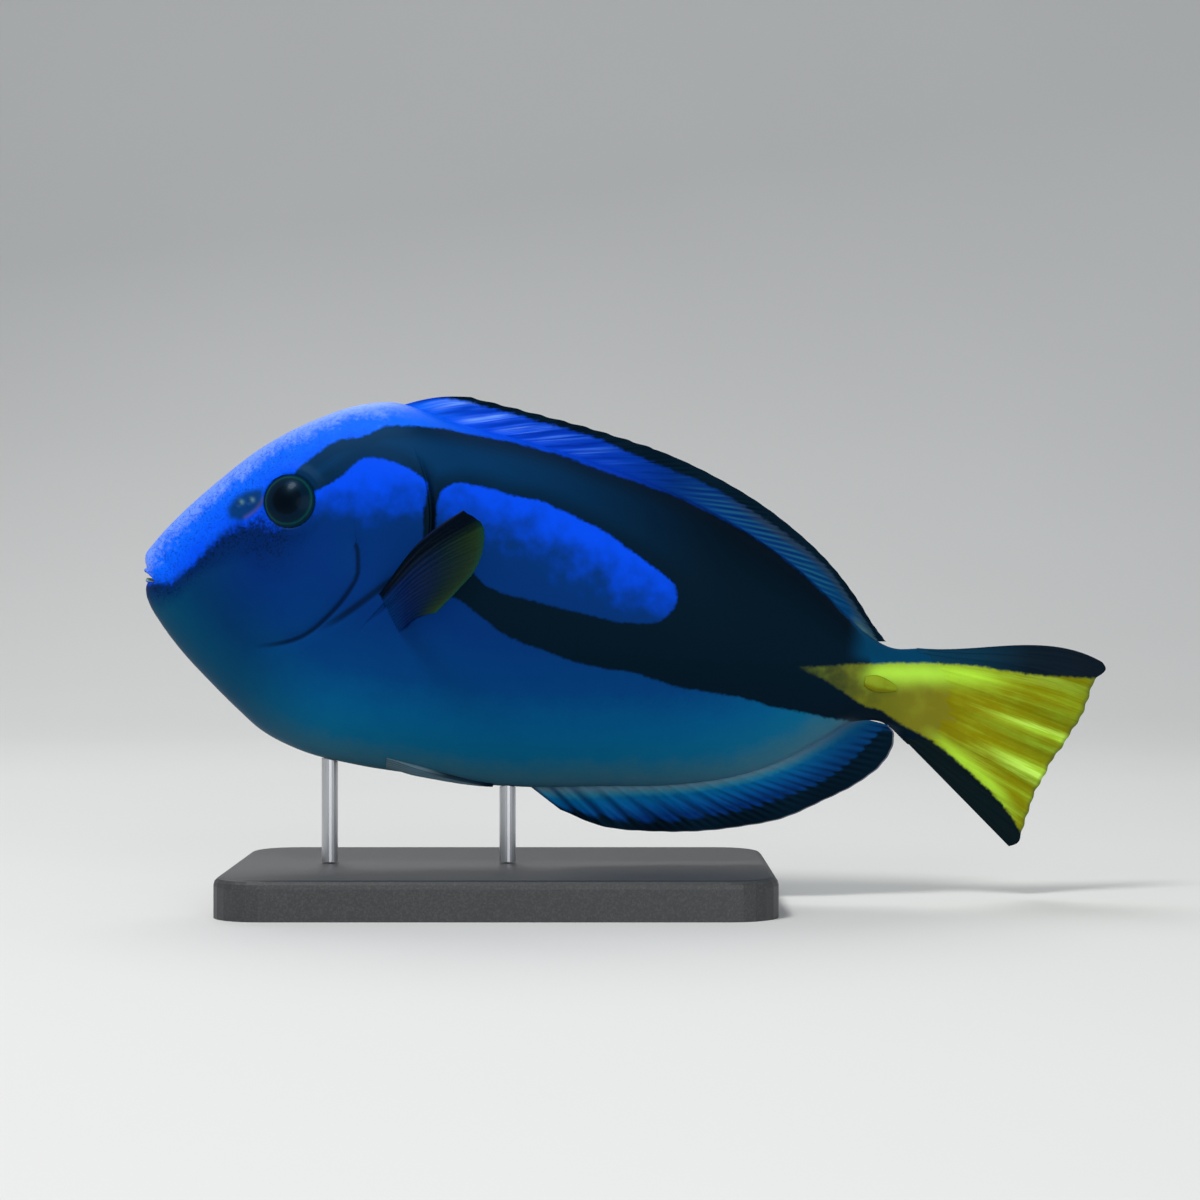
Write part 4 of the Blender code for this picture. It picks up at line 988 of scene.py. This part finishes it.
# %% Unpaired fins
DORSAL_SPINES, DORSAL_RAYS, ANAL_SPINES, ANAL_RAYS = 9, 19, 3, 18
DORSAL_BASE, ANAL_BASE = (45.6, 151.8), (84.6, 151.2)
DORSAL_EDGE = [(61.0, 46.1), (69.0, 45.4), (88.9, 43.3), (101.9, 41.2), (110.7, 38.9), (119.7, 35.7),
               (128.9, 31.4), (138.3, 25.5), (148.3, 16.5), (151.4, 12.9), (155.0, 9.4)]  # fmt: skip
ANAL_EDGE = [(93.0, -35.8), (101.0, -37.7), (113.0, -37.3), (122.6, -35.7), (130.7, -33.6), (138.8, -30.7),
             (146.5, -26.0), (154.3, -20.4), (158.4, -15.8), (159.9, -11.8), (159.6, -9.2),
             (158.2, -7.8)]  # fmt: skip
DORSAL_MARGIN = [(40.0, 43.4), (48.0, 44.4), (56.0, 45.1), (67.8, 44.3), (76.4, 43.2), (89.2, 41.6),
                 (98.1, 39.2), (111.2, 36.3), (120.0, 33.1), (129.2, 28.9), (138.4, 24.0), (148.2, 15.0),
                 (156.0, 6.0)]  # fmt: skip
ANAL_MARGIN = [(84.0, -33.6), (89.7, -34.9), (98.0, -35.9), (105.7, -36.0), (122.1, -33.0), (137.9, -26.7),
               (151.2, -17.2), (157.3, -8.8)]  # fmt: skip
COLUMNS_PER_RAY, FIN_ROWS = 10, 40
ROOT_SUNK = 1.2
FIN_ROOT_HALF, MEMBRANE_HALF, SPINE_HALF, RAY_HALF = 0.75, 0.2, 0.22, 0.14
SPINE_NOTCH, RAY_NOTCH = 0.5, 0.14
ANAL_NOTCH = 0.12
DORSAL_LEAN, ANAL_LEAN, DORSAL_BOW = 1.3, 1.25, 1.0
SWAY, SWAY_WAVE = 0.4, 2.9


def root_line(line, gill_point, limits, across, away):
    """Points of a body line between two lengths, shifted off the body by this much (minus goes in)."""
    numbers = np.linspace(0.6, TAIL_BASE, 1500)
    traced = body_line(line, gill_point, numbers)
    traced = traced[(traced[:, 0] >= limits[0]) & (traced[:, 0] <= limits[1])]
    heading = np.gradient(traced, axis=0)
    heading /= np.linalg.norm(heading, axis=1, keepdims=True)
    shifted = traced + away * np.stack([-heading[:, 1], heading[:, 0]], axis=1)
    share = chords(traced)
    return np.stack([np.interp(across, share, shifted[:, k]) for k in (0, 1)], axis=1)


def unpaired_fin(name, line, gill_point, base, way, edge, margin, spines, rays, lean, bow, notches, finish):
    """Straight rays from root to edge. Their share of the edge runs ahead of their share of the root by the
    power called lean, so that they slant back, and a cosine notches the edge between them. A half sine bows
    the first rays outwards."""
    total = spines + rays
    across = np.linspace(0.0, 1.0, COLUMNS_PER_RAY * (total - 1) + 1)
    out = np.linspace(0.0, 1.0, FIN_ROWS) ** 0.9
    start = root_line(line, gill_point, base, across, -way * ROOT_SUNK)
    end = along(edge, 1 - (1 - across) ** lean)
    reach = end - start
    length = np.linalg.norm(reach, axis=1, keepdims=True)
    notch = np.where(across * (total - 1) < spines - 0.5, *notches)
    crest = 0.5 * np.cos(2 * math.pi * across * (total - 1))
    end = end + reach / length * (crest * notch)[:, None]
    flat = start[:, None, :] + (end - start)[:, None, :] * out[None, :, None]
    flat[..., 1] += way * bow * hump(across, 0.07)[:, None] * np.sin(math.pi * out)[None, :]
    u, v = flat[..., 0], flat[..., 1]
    sway = SWAY * np.sin(u / SWAY_WAVE) * out[None, :] ** 2 * smoothstep((u - 60.0) / 20.0)
    middle = np.stack([u, sway, v], axis=-1)
    bells = ray_bells(across[:, None], out[None, :], rays, spines)
    spiny = (across * (total - 1) < spines - 0.5)[:, None]
    root = 1 - smoothstep(out / 0.4)[None, :]
    half = MEMBRANE_HALF + (FIN_ROOT_HALF - MEMBRANE_HALF) * root
    half = (half + np.where(spiny, SPINE_HALF, RAY_HALF) * bells * (1 - 0.5 * out)) * (1 - 0.35 * out**6)
    normal = np.broadcast_to((0.0, 1.0, 0.0), middle.shape)
    beyond = way * (v - table(margin, u))
    share = np.broadcast_to(out, u.shape)
    readings = {"margin": beyond, "out": share, "length": u,
                "rim": (1 - share) * length, "root": share * length}  # fmt: skip
    flat_map = ray_map(across[:, None], out[None, :], total, length_mm=14.0)
    return sheet_piece(name, middle, half, normal, finish, readings, flat_map)


def dorsal_finish():
    """Blue with painted highlights as pale feathers on the front half, teal hair-lines behind, and a black
    margin.
    """
    finish, tree, shader, hair = fin_finish("dorsal fin")
    out, front = reading(tree, "out"), within(tree, "length", 100.0, 82.0)
    colour = crest_blue(tree)
    # Painted shade in stripes at the front of the root, and painted highlights as pale feathers along the
    # folded spines.
    shade = times(tree, stripes(tree, 0.55, 0.98, 0.3, 0.9), front, step(tree, out, 0.0, 0.3))
    colour = mix(tree, times(tree, shade, 0.65), colour, paint(0, 36, 150))
    patch = times(tree, stripes(tree, 0.55, 0.5, 0.42, 0.9), step(tree, out, 0.08, 0.5))
    painted_spine_highlight = times(tree, patch, step(tree, out, 0.95, 0.55), front, step(tree, hair, 0.34, 0.7))
    pale = ramp(tree, reading(tree, "length"), [
        (45.0, paint(150, 190, 255)), (66.0, paint(124, 176, 255)), (96.0, paint(44, 116, 250))])  # fmt: skip
    colour = mix(tree, painted_spine_highlight, colour, pale)
    foot = times(tree, step(tree, out, 0.5, 0.1), within(tree, "length", 100.0, 118.0))
    colour = mix(tree, times(tree, foot, 0.6), colour, paint(0, 60, 128))
    lines = times(tree, stripes(tree, 1.5, 0.5, 0.4, 0.6), step(tree, out, 0.1, 0.4))
    lines = times(tree, lines, step(tree, out, 0.85, 0.55), within(tree, "length", 104.0, 118.0))
    lines = times(tree, lines, within(tree, "length", 148.0, 138.0))
    colour = mix(tree, times(tree, lines, 0.4), colour, paint(40, 116, 132))
    dun = times(tree, within(tree, "margin", -2.2, -0.4), within(tree, "length", 114.0, 126.0), 0.6)
    colour = mix(tree, dun, colour, paint(44, 54, 50))
    tip = times(tree, within(tree, "length", 146.0, 150.0), step(tree, out, 0.75, 0.4), 0.7)
    colour = mix(tree, tip, colour, paint(76, 104, 96))
    margin = arith(tree, "ADD", fraying(tree), reading(tree, "margin"))
    margin = arith(tree, "MULTIPLY_ADD", arith(tree, "SUBTRACT", hair, 0.5), 1.6, margin)
    colour = mix(tree, step(tree, margin, -0.45, 0.45), colour, BLACK)
    tree.links.new(colour, shader.inputs["Base Color"])
    return finish


def anal_finish():
    """A grey root, blue strokes split by navy ones that grow out of the black margin, and a thin pale rim."""
    finish, tree, shader = fin_finish("anal fin")[:3]
    fray = fraying(tree)
    root = arith(tree, "MULTIPLY_ADD", fray, 1.4, reading(tree, "root"))
    colour = ramp(tree, root, [
        (1.2, paint(70, 100, 118)), (2.6, paint(84, 122, 140)), (4.2, paint(40, 120, 150)),
        (5.6, paint(0, 96, 150)), (9.0, paint(0, 72, 136)), (12.0, paint(0, 40, 104))])  # fmt: skip
    dusky = within(tree, "length", 132.0, 154.0)
    colour = mix(tree, times(tree, dusky, 0.75), colour, paint(2, 46, 88))
    margin = arith(tree, "MULTIPLY_ADD", fray, 0.8, reading(tree, "margin"))
    wide = times(tree, stripes(tree, 0.8, 0.0, 0.34, 0.3), within(tree, "length", 132.0, 118.0))
    narrow = times(tree, stripes(tree, 1.6, 0.0, 0.36, 0.4), within(tree, "length", 118.0, 132.0))
    stroke = arith(tree, "ADD", wide, narrow, clamp=True)
    reach = times(tree, stroke, step(tree, margin, -6.5, -0.8))
    colour = mix(tree, times(tree, reach, 0.92), colour, paint(0, 14, 52))
    inner = times(tree, stroke, step(tree, margin, -6.5, -4.0), 0.35)
    colour = mix(tree, inner, colour, paint(0, 44, 96))
    margin = arith(tree, "MULTIPLY_ADD", stroke, 0.9, margin)
    colour = mix(tree, step(tree, margin, -0.5, 0.7), colour, BLACK)
    corner = times(tree, within(tree, "length", 148.0, 152.0), step(tree, root, 3.4, 1.6), 0.8)
    colour = mix(tree, corner, colour, paint(82, 84, 96))
    rim = times(tree, within(tree, "rim", 0.42, 0.2), within(tree, "length", 104.0, 138.0), 0.8)
    colour = mix(tree, rim, colour, paint(104, 104, 112))
    tree.links.new(colour, shader.inputs["Base Color"])
    return finish


dorsal = unpaired_fin("dorsal_sail", TOP_LINE, TOP_GILL_POINT, DORSAL_BASE, 1, DORSAL_EDGE, DORSAL_MARGIN,
                      DORSAL_SPINES, DORSAL_RAYS, DORSAL_LEAN, DORSAL_BOW, (SPINE_NOTCH, RAY_NOTCH),
                      dorsal_finish())  # fmt: skip
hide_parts("dorsal_fin")
anal = unpaired_fin("anal_sail", BELLY_LINE, BELLY_GILL_POINT, ANAL_BASE, -1, ANAL_EDGE, ANAL_MARGIN,
                    ANAL_SPINES, ANAL_RAYS, ANAL_LEAN, 0.0, (ANAL_NOTCH, ANAL_NOTCH),
                    anal_finish())  # fmt: skip
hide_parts("anal_fin")
for sail in (dorsal, anal):
    print(sail.name, len(sail.data.polygons), "faces")

# %% [markdown]
# ## The tail fin
# The tail is a fan that springs from the whole height of the stem. Its middle is folded like a pleated skirt,
# and on the folds the light is painted as pale green streaks on lemon yellow. The black band of the body runs
# out along its upper and lower rays.

# %% Tail fin
TAIL_RAYS, TAIL_ROWS, TAIL_COLUMNS_PER_RAY = 16, 84, 14
TAIL_EDGE = [(201.9, 12.3), (203.1, 11.0), (202.2, 9.8), (200.9, 8.2), (200.2, 4.0), (198.4, -1.8),
             (195.4, -8.0), (192.9, -14.0), (191.0, -21.0), (190.2, -26.6), (189.6, -28.6),
             (187.9, -29.3)]  # fmt: skip
TAIL_TOP_BOW, TAIL_FOLD, TAIL_FOLDS = 17.5, 0.9, 6
WARM_TINT = (0.55, 0.75, 0.5, 1.0)
TAIL_MEMBRANE, TAIL_RAY, TAIL_ROOT = 0.2, 0.13, 0.7


def tail_shape(finish):
    """Rays from the stem's end to the trailing edge; a sine across the fan, growing outwards, folds it."""
    across = np.linspace(0.0, 1.0, TAIL_COLUMNS_PER_RAY * (TAIL_RAYS - 1) + 1)
    out = np.linspace(-0.04, 1.0, TAIL_ROWS)
    side = body(np.full(len(across), TAIL_BASE), across * 180.0)
    start = side[:, [0, 2]] + (0.3, 0.0)
    crest = 0.5 * np.cos(2 * math.pi * across * (TAIL_RAYS - 1))
    end = along(TAIL_EDGE, across) + crest[:, None] * (0.25, -0.05)
    flat = start[:, None, :] + (end - start)[:, None, :] * out[None, :, None]
    inner = np.clip(out, 0.0, 1.0)
    bow = TAIL_TOP_BOW * np.clip(1 - across / 0.5, 0.0, 1.0)[:, None] ** 2
    flat[..., 1] += bow * (inner**2 * (1 - inner))[None, :]
    fold = TAIL_FOLD * np.sin(2 * math.pi * TAIL_FOLDS * across)[:, None] * inner[None, :] ** 1.5
    fold = fold * np.sin(math.pi * across)[:, None]
    middle = np.stack([flat[..., 0], fold, flat[..., 1]], axis=-1)
    bells = ray_bells(across[:, None], inner[None, :], TAIL_RAYS, thin=0.15)
    root = 1 - smoothstep(inner / 0.3)[None, :]
    half = TAIL_MEMBRANE + (TAIL_ROOT - TAIL_MEMBRANE) * root + TAIL_RAY * bells * (1 - 0.5 * inner)
    half = np.minimum(half, side[:, 1:2] * 0.8 + 0.25 + 20 * np.clip(out, 0.0, 1.0)) * (1 - 0.4 * inner**8)
    normal = np.broadcast_to((0.0, 1.0, 0.0), middle.shape)
    u, v = flat[..., 0], flat[..., 1]
    centre = hump(across - 0.5, 0.3)[:, None] * smoothstep((u - 172.0) / 18.0)
    # Share of the pleats' crests that is given a painted highlight.
    pleat_highlight = centre * (0.5 - 0.5 * fold / TAIL_FOLD)
    readings = {"yellow": inside(u, v, yellow_outline), "length": u, "height": v,
                "gold_highlight": painted_yellow_highlight(u, v), "pleat_highlight": pleat_highlight, "out": np.broadcast_to(inner, u.shape)}  # fmt: skip
    return sheet_piece("tail_fan", middle, half, normal, finish, readings,
                       ray_map(across[:, None], out[None, :], TAIL_RAYS, length_mm=36.0))  # fmt: skip


def tail_finish():
    """The skin's gold with painted highlights on the pleats, between two dark borders that keep the skin's
    teal.
    """
    finish, tree, shader, hair = fin_finish("tail fin", gloss=0.1, gloss_tint=WARM_TINT)
    broad = noise(tree, stroke_place(tree, 0.55, 0.12), 1.0, 2.0)
    # Painted highlights: pale streaks on the pleats and along the yellow's edges.
    streak = times(tree, reading(tree, "pleat_highlight"), step(tree, broad, 0.4, 0.6), 1.1)
    streak = arith(tree, "ADD", streak, reading(tree, "gold_highlight"))
    fine = times(tree, arith(tree, "SUBTRACT", hair, 0.5), step(tree, reading(tree, "out"), 0.1, 0.5), 0.9)
    yellow = gold(tree, object_place(tree), arith(tree, "ADD", streak, fine, clamp=True))
    # Painted glints: pale green on the pleats' crests.
    painted_glint = times(tree, reading(tree, "pleat_highlight"), step(tree, broad, 0.48, 0.62), step(tree, hair, 0.4, 0.6))
    yellow = mix(tree, painted_glint, yellow, paint(210, 255, 110))
    fringe = times(tree, step(tree, reading(tree, "out"), 0.965, 1.0), 0.6)
    yellow = mix(tree, fringe, yellow, paint(70, 88, 46))
    upper = ramp(tree, reading(tree, "length"), [
        (158.0, paint(0, 58, 90)), (174.0, paint(0, 46, 70)), (186.0, paint(2, 20, 38)),
        (200.0, paint(6, 18, 34))])  # fmt: skip
    dark = mix(tree, within(tree, "height", -2.0, 3.0), paint(0, 15, 24), upper)
    edge = arith(tree, "ADD", fraying(tree), reading(tree, "yellow"))
    colour = mix(tree, step(tree, edge, -0.3, 0.5), dark, yellow)
    tree.links.new(colour, shader.inputs["Base Color"])
    return finish


tail = tail_shape(tail_finish())
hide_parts("tail_fin")
print("tail fan:", len(tail.data.polygons), "faces")

# %% [markdown]
# ## Pectoral fins
# The side fins row the fish along. The left one stands out towards the camera, so it looks short and its
# black leading ray hides part of the palette. Its membrane is dark blue at the root and dark olive towards
# the tip. Its root lies on the flank, whose width is read from the skin's own grid.

# %% Pectoral fins
PECTORAL_BASE = [(50.8, 3.6), (55.7, -3.6)]
PECTORAL_TIPS = [(65.6, 44.0, 21.4), (69.4, 42.0, 19.6), (70.3, 38.0, 15.6), (69.4, 34.0, 11.0),
                 (66.3, 29.0, 6.2), (62.4, 24.0, 1.0)]  # fmt: skip
PECTORAL_RAYS, PECTORAL_ROWS = 16, 56
PECTORAL_BOW = (-1.6, 1.2, 0.8)
PECTORAL_SHEET, PECTORAL_ROOT, PECTORAL_RAY, PECTORAL_LEAD = 0.17, 0.6, 0.12, 0.25


def surface_normals(grid):
    """Cross product of the steps along the two directions, scaled to one."""
    normal = np.cross(np.gradient(grid, axis=0), np.gradient(grid, axis=1))
    return normal / np.linalg.norm(normal, axis=-1, keepdims=True)


def pectoral_fin(side, name, finish):
    """Rays from the root line on the flank to the tips, bowed by a half sine. The root is sunk in the
    skin."""
    across = np.linspace(0.0, 1.0, COLUMNS_PER_RAY * (PECTORAL_RAYS - 1) + 1)
    out = np.linspace(-0.04, 1.0, PECTORAL_ROWS)
    base = np.asarray(PECTORAL_BASE)
    knots = np.linspace(0.0, 1.0, 7)
    knot_place = base[0] + (base[1] - base[0]) * knots[:, None]
    width = smooth(knots, flank(knot_place[:, 0], knot_place[:, 1]), across)
    place = base[0] + (base[1] - base[0]) * across[:, None]
    start = np.stack([place[:, 0], width + 0.1, place[:, 1]], axis=1)
    tips = along(PECTORAL_TIPS, across)
    reach = tips - start
    length = np.linalg.norm(reach, axis=1, keepdims=True)
    crest = 0.5 * np.cos(2 * math.pi * across * (PECTORAL_RAYS - 1))
    tips = tips + reach / length * crest[:, None] * RAY_NOTCH
    middle = start[:, None, :] + (tips - start)[:, None, :] * out[None, :, None]
    bow = np.sin(math.pi * np.clip(out, 0.0, 1.0))[None, :] * (1 - 0.5 * across)[:, None]
    middle = middle + bow[..., None] * np.array(PECTORAL_BOW)
    inner = np.clip(out, 0.0, 1.0)
    bells = ray_bells(across[:, None], inner[None, :], PECTORAL_RAYS, thin=0.2)
    lead = hump(across, 0.05)[:, None]
    root = 1 - smoothstep(inner / 0.3)[None, :]
    ridges = (PECTORAL_RAY * bells + PECTORAL_LEAD * lead) * (1 - 0.55 * inner)
    half = PECTORAL_SHEET + PECTORAL_ROOT * root + ridges
    half = half * (1 - 0.4 * inner**8)
    normal = surface_normals(middle)
    share = np.broadcast_to(inner, half.shape)
    readings = {"out": share, "across": np.broadcast_to(across[:, None], half.shape)}
    return sheet_piece(name, middle * (1, side, 1), half, normal * (1, side, 1), finish, readings,
                       ray_map(across[:, None], out[None, :], PECTORAL_RAYS, length_mm=34.0))  # fmt: skip


def pectoral_finish():
    """Navy at the root, olive on the outer third, a black leading edge and dark strokes on the rays."""
    finish, tree, shader, hair = fin_finish("pectoral fin", gloss=0.12)
    wave = arith(tree, "SUBTRACT", hair, 0.5)
    out = arith(tree, "MULTIPLY_ADD", wave, 0.22, reading(tree, "out"))
    colour = ramp(tree, out, [
        (0.0, paint(0, 46, 104)), (0.2, paint(0, 30, 88)), (0.54, paint(0, 26, 60)),
        (0.68, paint(8, 34, 36)), (0.88, paint(26, 46, 20)), (1.0, paint(36, 60, 26))])  # fmt: skip
    dark = times(tree, stripes(tree, 1.0, 0.0, 0.4, 0.3), step(tree, reading(tree, "out"), 1.0, 0.5), 0.6)
    dark = times(tree, dark, within(tree, "out", 0.02, 0.3))
    colour = mix(tree, dark, colour, paint(0, 10, 34))
    rim = times(tree, step(tree, reading(tree, "out"), 0.94, 1.0), 0.7)
    colour = mix(tree, rim, colour, paint(6, 70, 56))
    across = arith(tree, "MULTIPLY_ADD", wave, 0.08, reading(tree, "across"))
    colour = mix(tree, step(tree, across, 0.2, 0.08), colour, paint(0, 9, 22))
    tree.links.new(colour, shader.inputs["Base Color"])
    return finish


pectoral_look = pectoral_finish()
for side, word in ((LEFT, "left"), (RIGHT, "right")):
    fin = pectoral_fin(side, f"pectoral_fan_{word}", pectoral_look)
    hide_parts(f"pectoral_fin_{word}")
    print(fin.name, len(fin.data.polygons), "faces")

# %% [markdown]
# ## Pelvic fins and tail blades
# Both lie on the body, so both are made on it: a small patch of the body's own surface is lifted by a
# thickness. The pelvic fins fold back along the keel. The blade on each side of the stem is the sharp spine
# that gives surgeonfish their name, folded away in its groove.

# %% Pieces that lie on the body
PELVIC_START, PELVIC_END, PELVIC_RAYS = 56.0, 78.4, 6
PELVIC_TOP, PELVIC_LOW = (158.0, 170.5), (168.0, 173.0)
BLADE_START, BLADE_END = 1.88, 1.945
PELVIC_GRID, PELVIC_SHEET, PELVIC_RAY, PELVIC_GAP = (46, 60), 0.6, 0.3, 0.1
BLADE_MIDDLE, BLADE_SPREAD = 88.0, 11.0
BLADE_GRID, BLADE_RIM, BLADE_RIDGE, BLADE_GAP = (25, 60), 0.12, 0.5, 0.02
BLADE_TONE_AT = 158.0


def body_normal(ring, angle):
    """Outward normal: cross product of a small step along the body and one round it."""
    step_ring, step_angle = 0.004, 1.0
    normal = np.cross(body(ring + step_ring, angle) - body(ring - step_ring, angle),
                      body(ring, angle + step_angle) - body(ring, angle - step_angle))  # fmt: skip
    normal /= np.linalg.norm(normal, axis=-1, keepdims=True)
    return np.where(normal[..., 1:2] < 0, -normal, normal)


def ring_at(u, angle):
    """Ring number that passes each length at each angle, read from a table of rings by whole degrees."""
    numbers = np.linspace(0.6, TAIL_BASE, 800)
    degrees = np.arange(PELVIC_TOP[0] - 1, PELVIC_LOW[1] + 2)
    traced = body(numbers[:, None], degrees[None, :])[..., 0]
    per_degree = np.stack([np.interp(u[0], traced[:, k], numbers) for k in range(len(degrees))])
    low = np.floor(angle - degrees[0]).astype(int)
    share = angle - degrees[0] - low
    column = np.arange(u.shape[1])[None, :]
    return per_degree[low, column] * (1 - share) + per_degree[low + 1, column] * share


def lifted(name, side, rings, angles, thickness, gap, finish, readings, flat):
    """A patch of the body lifted by a gap and given this thickness."""
    place, normal = body(rings, angles), body_normal(rings, angles)
    middle = (place + normal * (gap + thickness[..., None] / 2)) * (1, side, 1)
    return sheet_piece(name, middle, thickness / 2, normal * (1, side, 1), finish, readings, flat)


def pelvic_fin(side, name, finish):
    """Angles narrow from the root's to the tip's. The thickness is a thin sheet with bells for the rays."""
    across = np.linspace(0.0, 1.0, PELVIC_GRID[0])
    length = np.linspace(0.0, 1.0, PELVIC_GRID[1])
    u = np.broadcast_to(PELVIC_START + (PELVIC_END - PELVIC_START) * length, PELVIC_GRID)
    top = PELVIC_TOP[0] + (PELVIC_TOP[1] - PELVIC_TOP[0]) * length**1.2
    low = PELVIC_LOW[0] + (PELVIC_LOW[1] - PELVIC_LOW[0]) * length
    angles = top[None, :] + (low - top)[None, :] * across[:, None]
    bells = ray_bells(across[:, None], length[None, :], PELVIC_RAYS, thin=0.22)
    swell = (1 - 0.45 * length**3) * (0.25 + 0.75 * smoothstep(length / 0.3))
    thickness = (PELVIC_SHEET + PELVIC_RAY * bells) * swell[None, :]
    readings = {"ray": bells, "out": np.broadcast_to(length, bells.shape),
                "across": np.broadcast_to(across[:, None], bells.shape)}  # fmt: skip
    return lifted(name, side, ring_at(u, angles), angles, thickness, PELVIC_GAP, finish, readings,
                  ray_map(across[:, None], length[None, :], PELVIC_RAYS, length_mm=22.0))  # fmt: skip


def pelvic_finish():
    """The belly's own greys at the root, dusky rays, and a dark upper edge and tip."""
    finish, tree, shader, hair = fin_finish("pelvic fin")
    colour = mix(tree, step(tree, hair, 0.3, 0.7), paint(56, 92, 108), paint(92, 116, 126))
    colour = mix(tree, times(tree, reading(tree, "ray"), 0.35), colour, paint(120, 138, 146))
    upper = times(tree, within(tree, "across", 0.4, 0.05), within(tree, "out", 0.3, 0.6), 0.9)
    colour = mix(tree, upper, colour, paint(2, 20, 34))
    colour = mix(tree, within(tree, "out", 0.8, 0.97), colour, paint(2, 14, 24))
    tree.links.new(colour, shader.inputs["Base Color"])
    return finish


def tail_blade(side, name, finish):
    """A leaf shape: the angle's spread follows a sine power of the length, with a ridge along its middle."""
    across = np.linspace(-1.0, 1.0, BLADE_GRID[0])[:, None]
    length = np.linspace(0.0, 1.0, BLADE_GRID[1])[None, :]
    width = np.sin(math.pi * np.clip(length * 0.8 + 0.12, 0.0, 1.0)) ** 0.8
    rings = np.broadcast_to(BLADE_START + (BLADE_END - BLADE_START) * length, BLADE_GRID)
    angles = BLADE_MIDDLE + BLADE_SPREAD * across * width
    thickness = BLADE_RIM + BLADE_RIDGE * np.sqrt(np.clip(1 - across**2, 0.0, 1.0)) * width
    readings = {"across": np.broadcast_to(across, BLADE_GRID), "length": np.full(BLADE_GRID, BLADE_TONE_AT)}
    return lifted(name, side, rings, angles, thickness, BLADE_GAP, finish, readings,
                  ray_map(across, length, 2, length_mm=7.0))  # fmt: skip


def blade_finish():
    """The skin's gold, with painted highlight on the ridge and painted shade at the edge that lies in its
    groove.
    """
    finish, tree, shader = new_finish("tail blade", 0.42, gloss=0.18, gloss_tint=WARM_TINT)
    place = object_place(tree)
    # Painted highlight along the ridge.
    yellow = gold(tree, place, times(tree, within(tree, "across", 0.7, 0.0), 0.25))
    # Painted shade at the edge, where the blade lies in its groove.
    edge = step(tree, arith(tree, "ABSOLUTE", reading(tree, "across")), 0.75, 1.0)
    tree.links.new(mix(tree, times(tree, edge, 0.25), yellow, paint(66, 66, 2)), shader.inputs["Base Color"])
    bump(tree, shader, noise(tree, place, 900.0, 2.0), 0.1, 0.04)
    return finish


pelvic_look, blade_look = pelvic_finish(), blade_finish()
for side, word in ((LEFT, "left"), (RIGHT, "right")):
    fin = pelvic_fin(side, f"pelvic_fan_{word}", pelvic_look)
    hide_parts(f"pelvic_fin_{word}")
    blade = tail_blade(side, f"blade_{word}", blade_look)
    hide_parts(f"tail_blade_{word}")
    print(fin.name, "and", blade.name, "lie on the", word, "side")

# %% [markdown]
# ## The stand
# The stand's solids have the right shape already, so they stay and only get finishes: a fine-grained dark
# plate, and steel rods brushed along their length.

# %% Stand materials
def base_finish():
    finish, tree, shader = new_finish("stand base", 0.5)
    place = object_place(tree)
    fleck = noise(tree, place, 2400.0, 3.0, 0.7)
    cloud = noise(tree, place, 40.0, 3.0)
    colour = mix(tree, step(tree, fleck, 0.4, 0.75), paint(48, 49, 51), paint(72, 73, 75))
    colour = mix(tree, arith(tree, "MULTIPLY", cloud, 0.3), colour, paint(40, 42, 45))
    tree.links.new(colour, shader.inputs["Base Color"])
    tree.links.new(arith(tree, "MULTIPLY_ADD", fleck, 0.2, 0.38), shader.inputs["Roughness"])
    bump(tree, shader, fleck, 0.25, 0.05)
    return finish


def rod_finish():
    finish, tree, shader = new_finish("brushed rod", 0.3, 1.0)
    brushed = add(tree, "Mapping")
    tree.links.new(object_place(tree), brushed.inputs["Vector"])
    brushed.inputs["Scale"].default_value = (3000.0, 3000.0, 60.0)
    lines = noise(tree, brushed.outputs["Vector"], 1.0, 2.0)
    tree.links.new(mix(tree, lines, paint(178, 180, 184), paint(206, 207, 210)), shader.inputs["Base Color"])
    tree.links.new(arith(tree, "MULTIPLY_ADD", lines, 0.22, 0.2), shader.inputs["Roughness"])
    bump(tree, shader, lines, 0.1, 0.02)
    return finish


def dress(node, finish):
    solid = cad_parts[node]
    solid.data.materials.clear()
    solid.data.materials.append(finish)


rod_look = rod_finish()
dress("stand_base", base_finish())
dress("stand_rod_front", rod_look)
dress("stand_rod_rear", rod_look)
print("stand dressed")
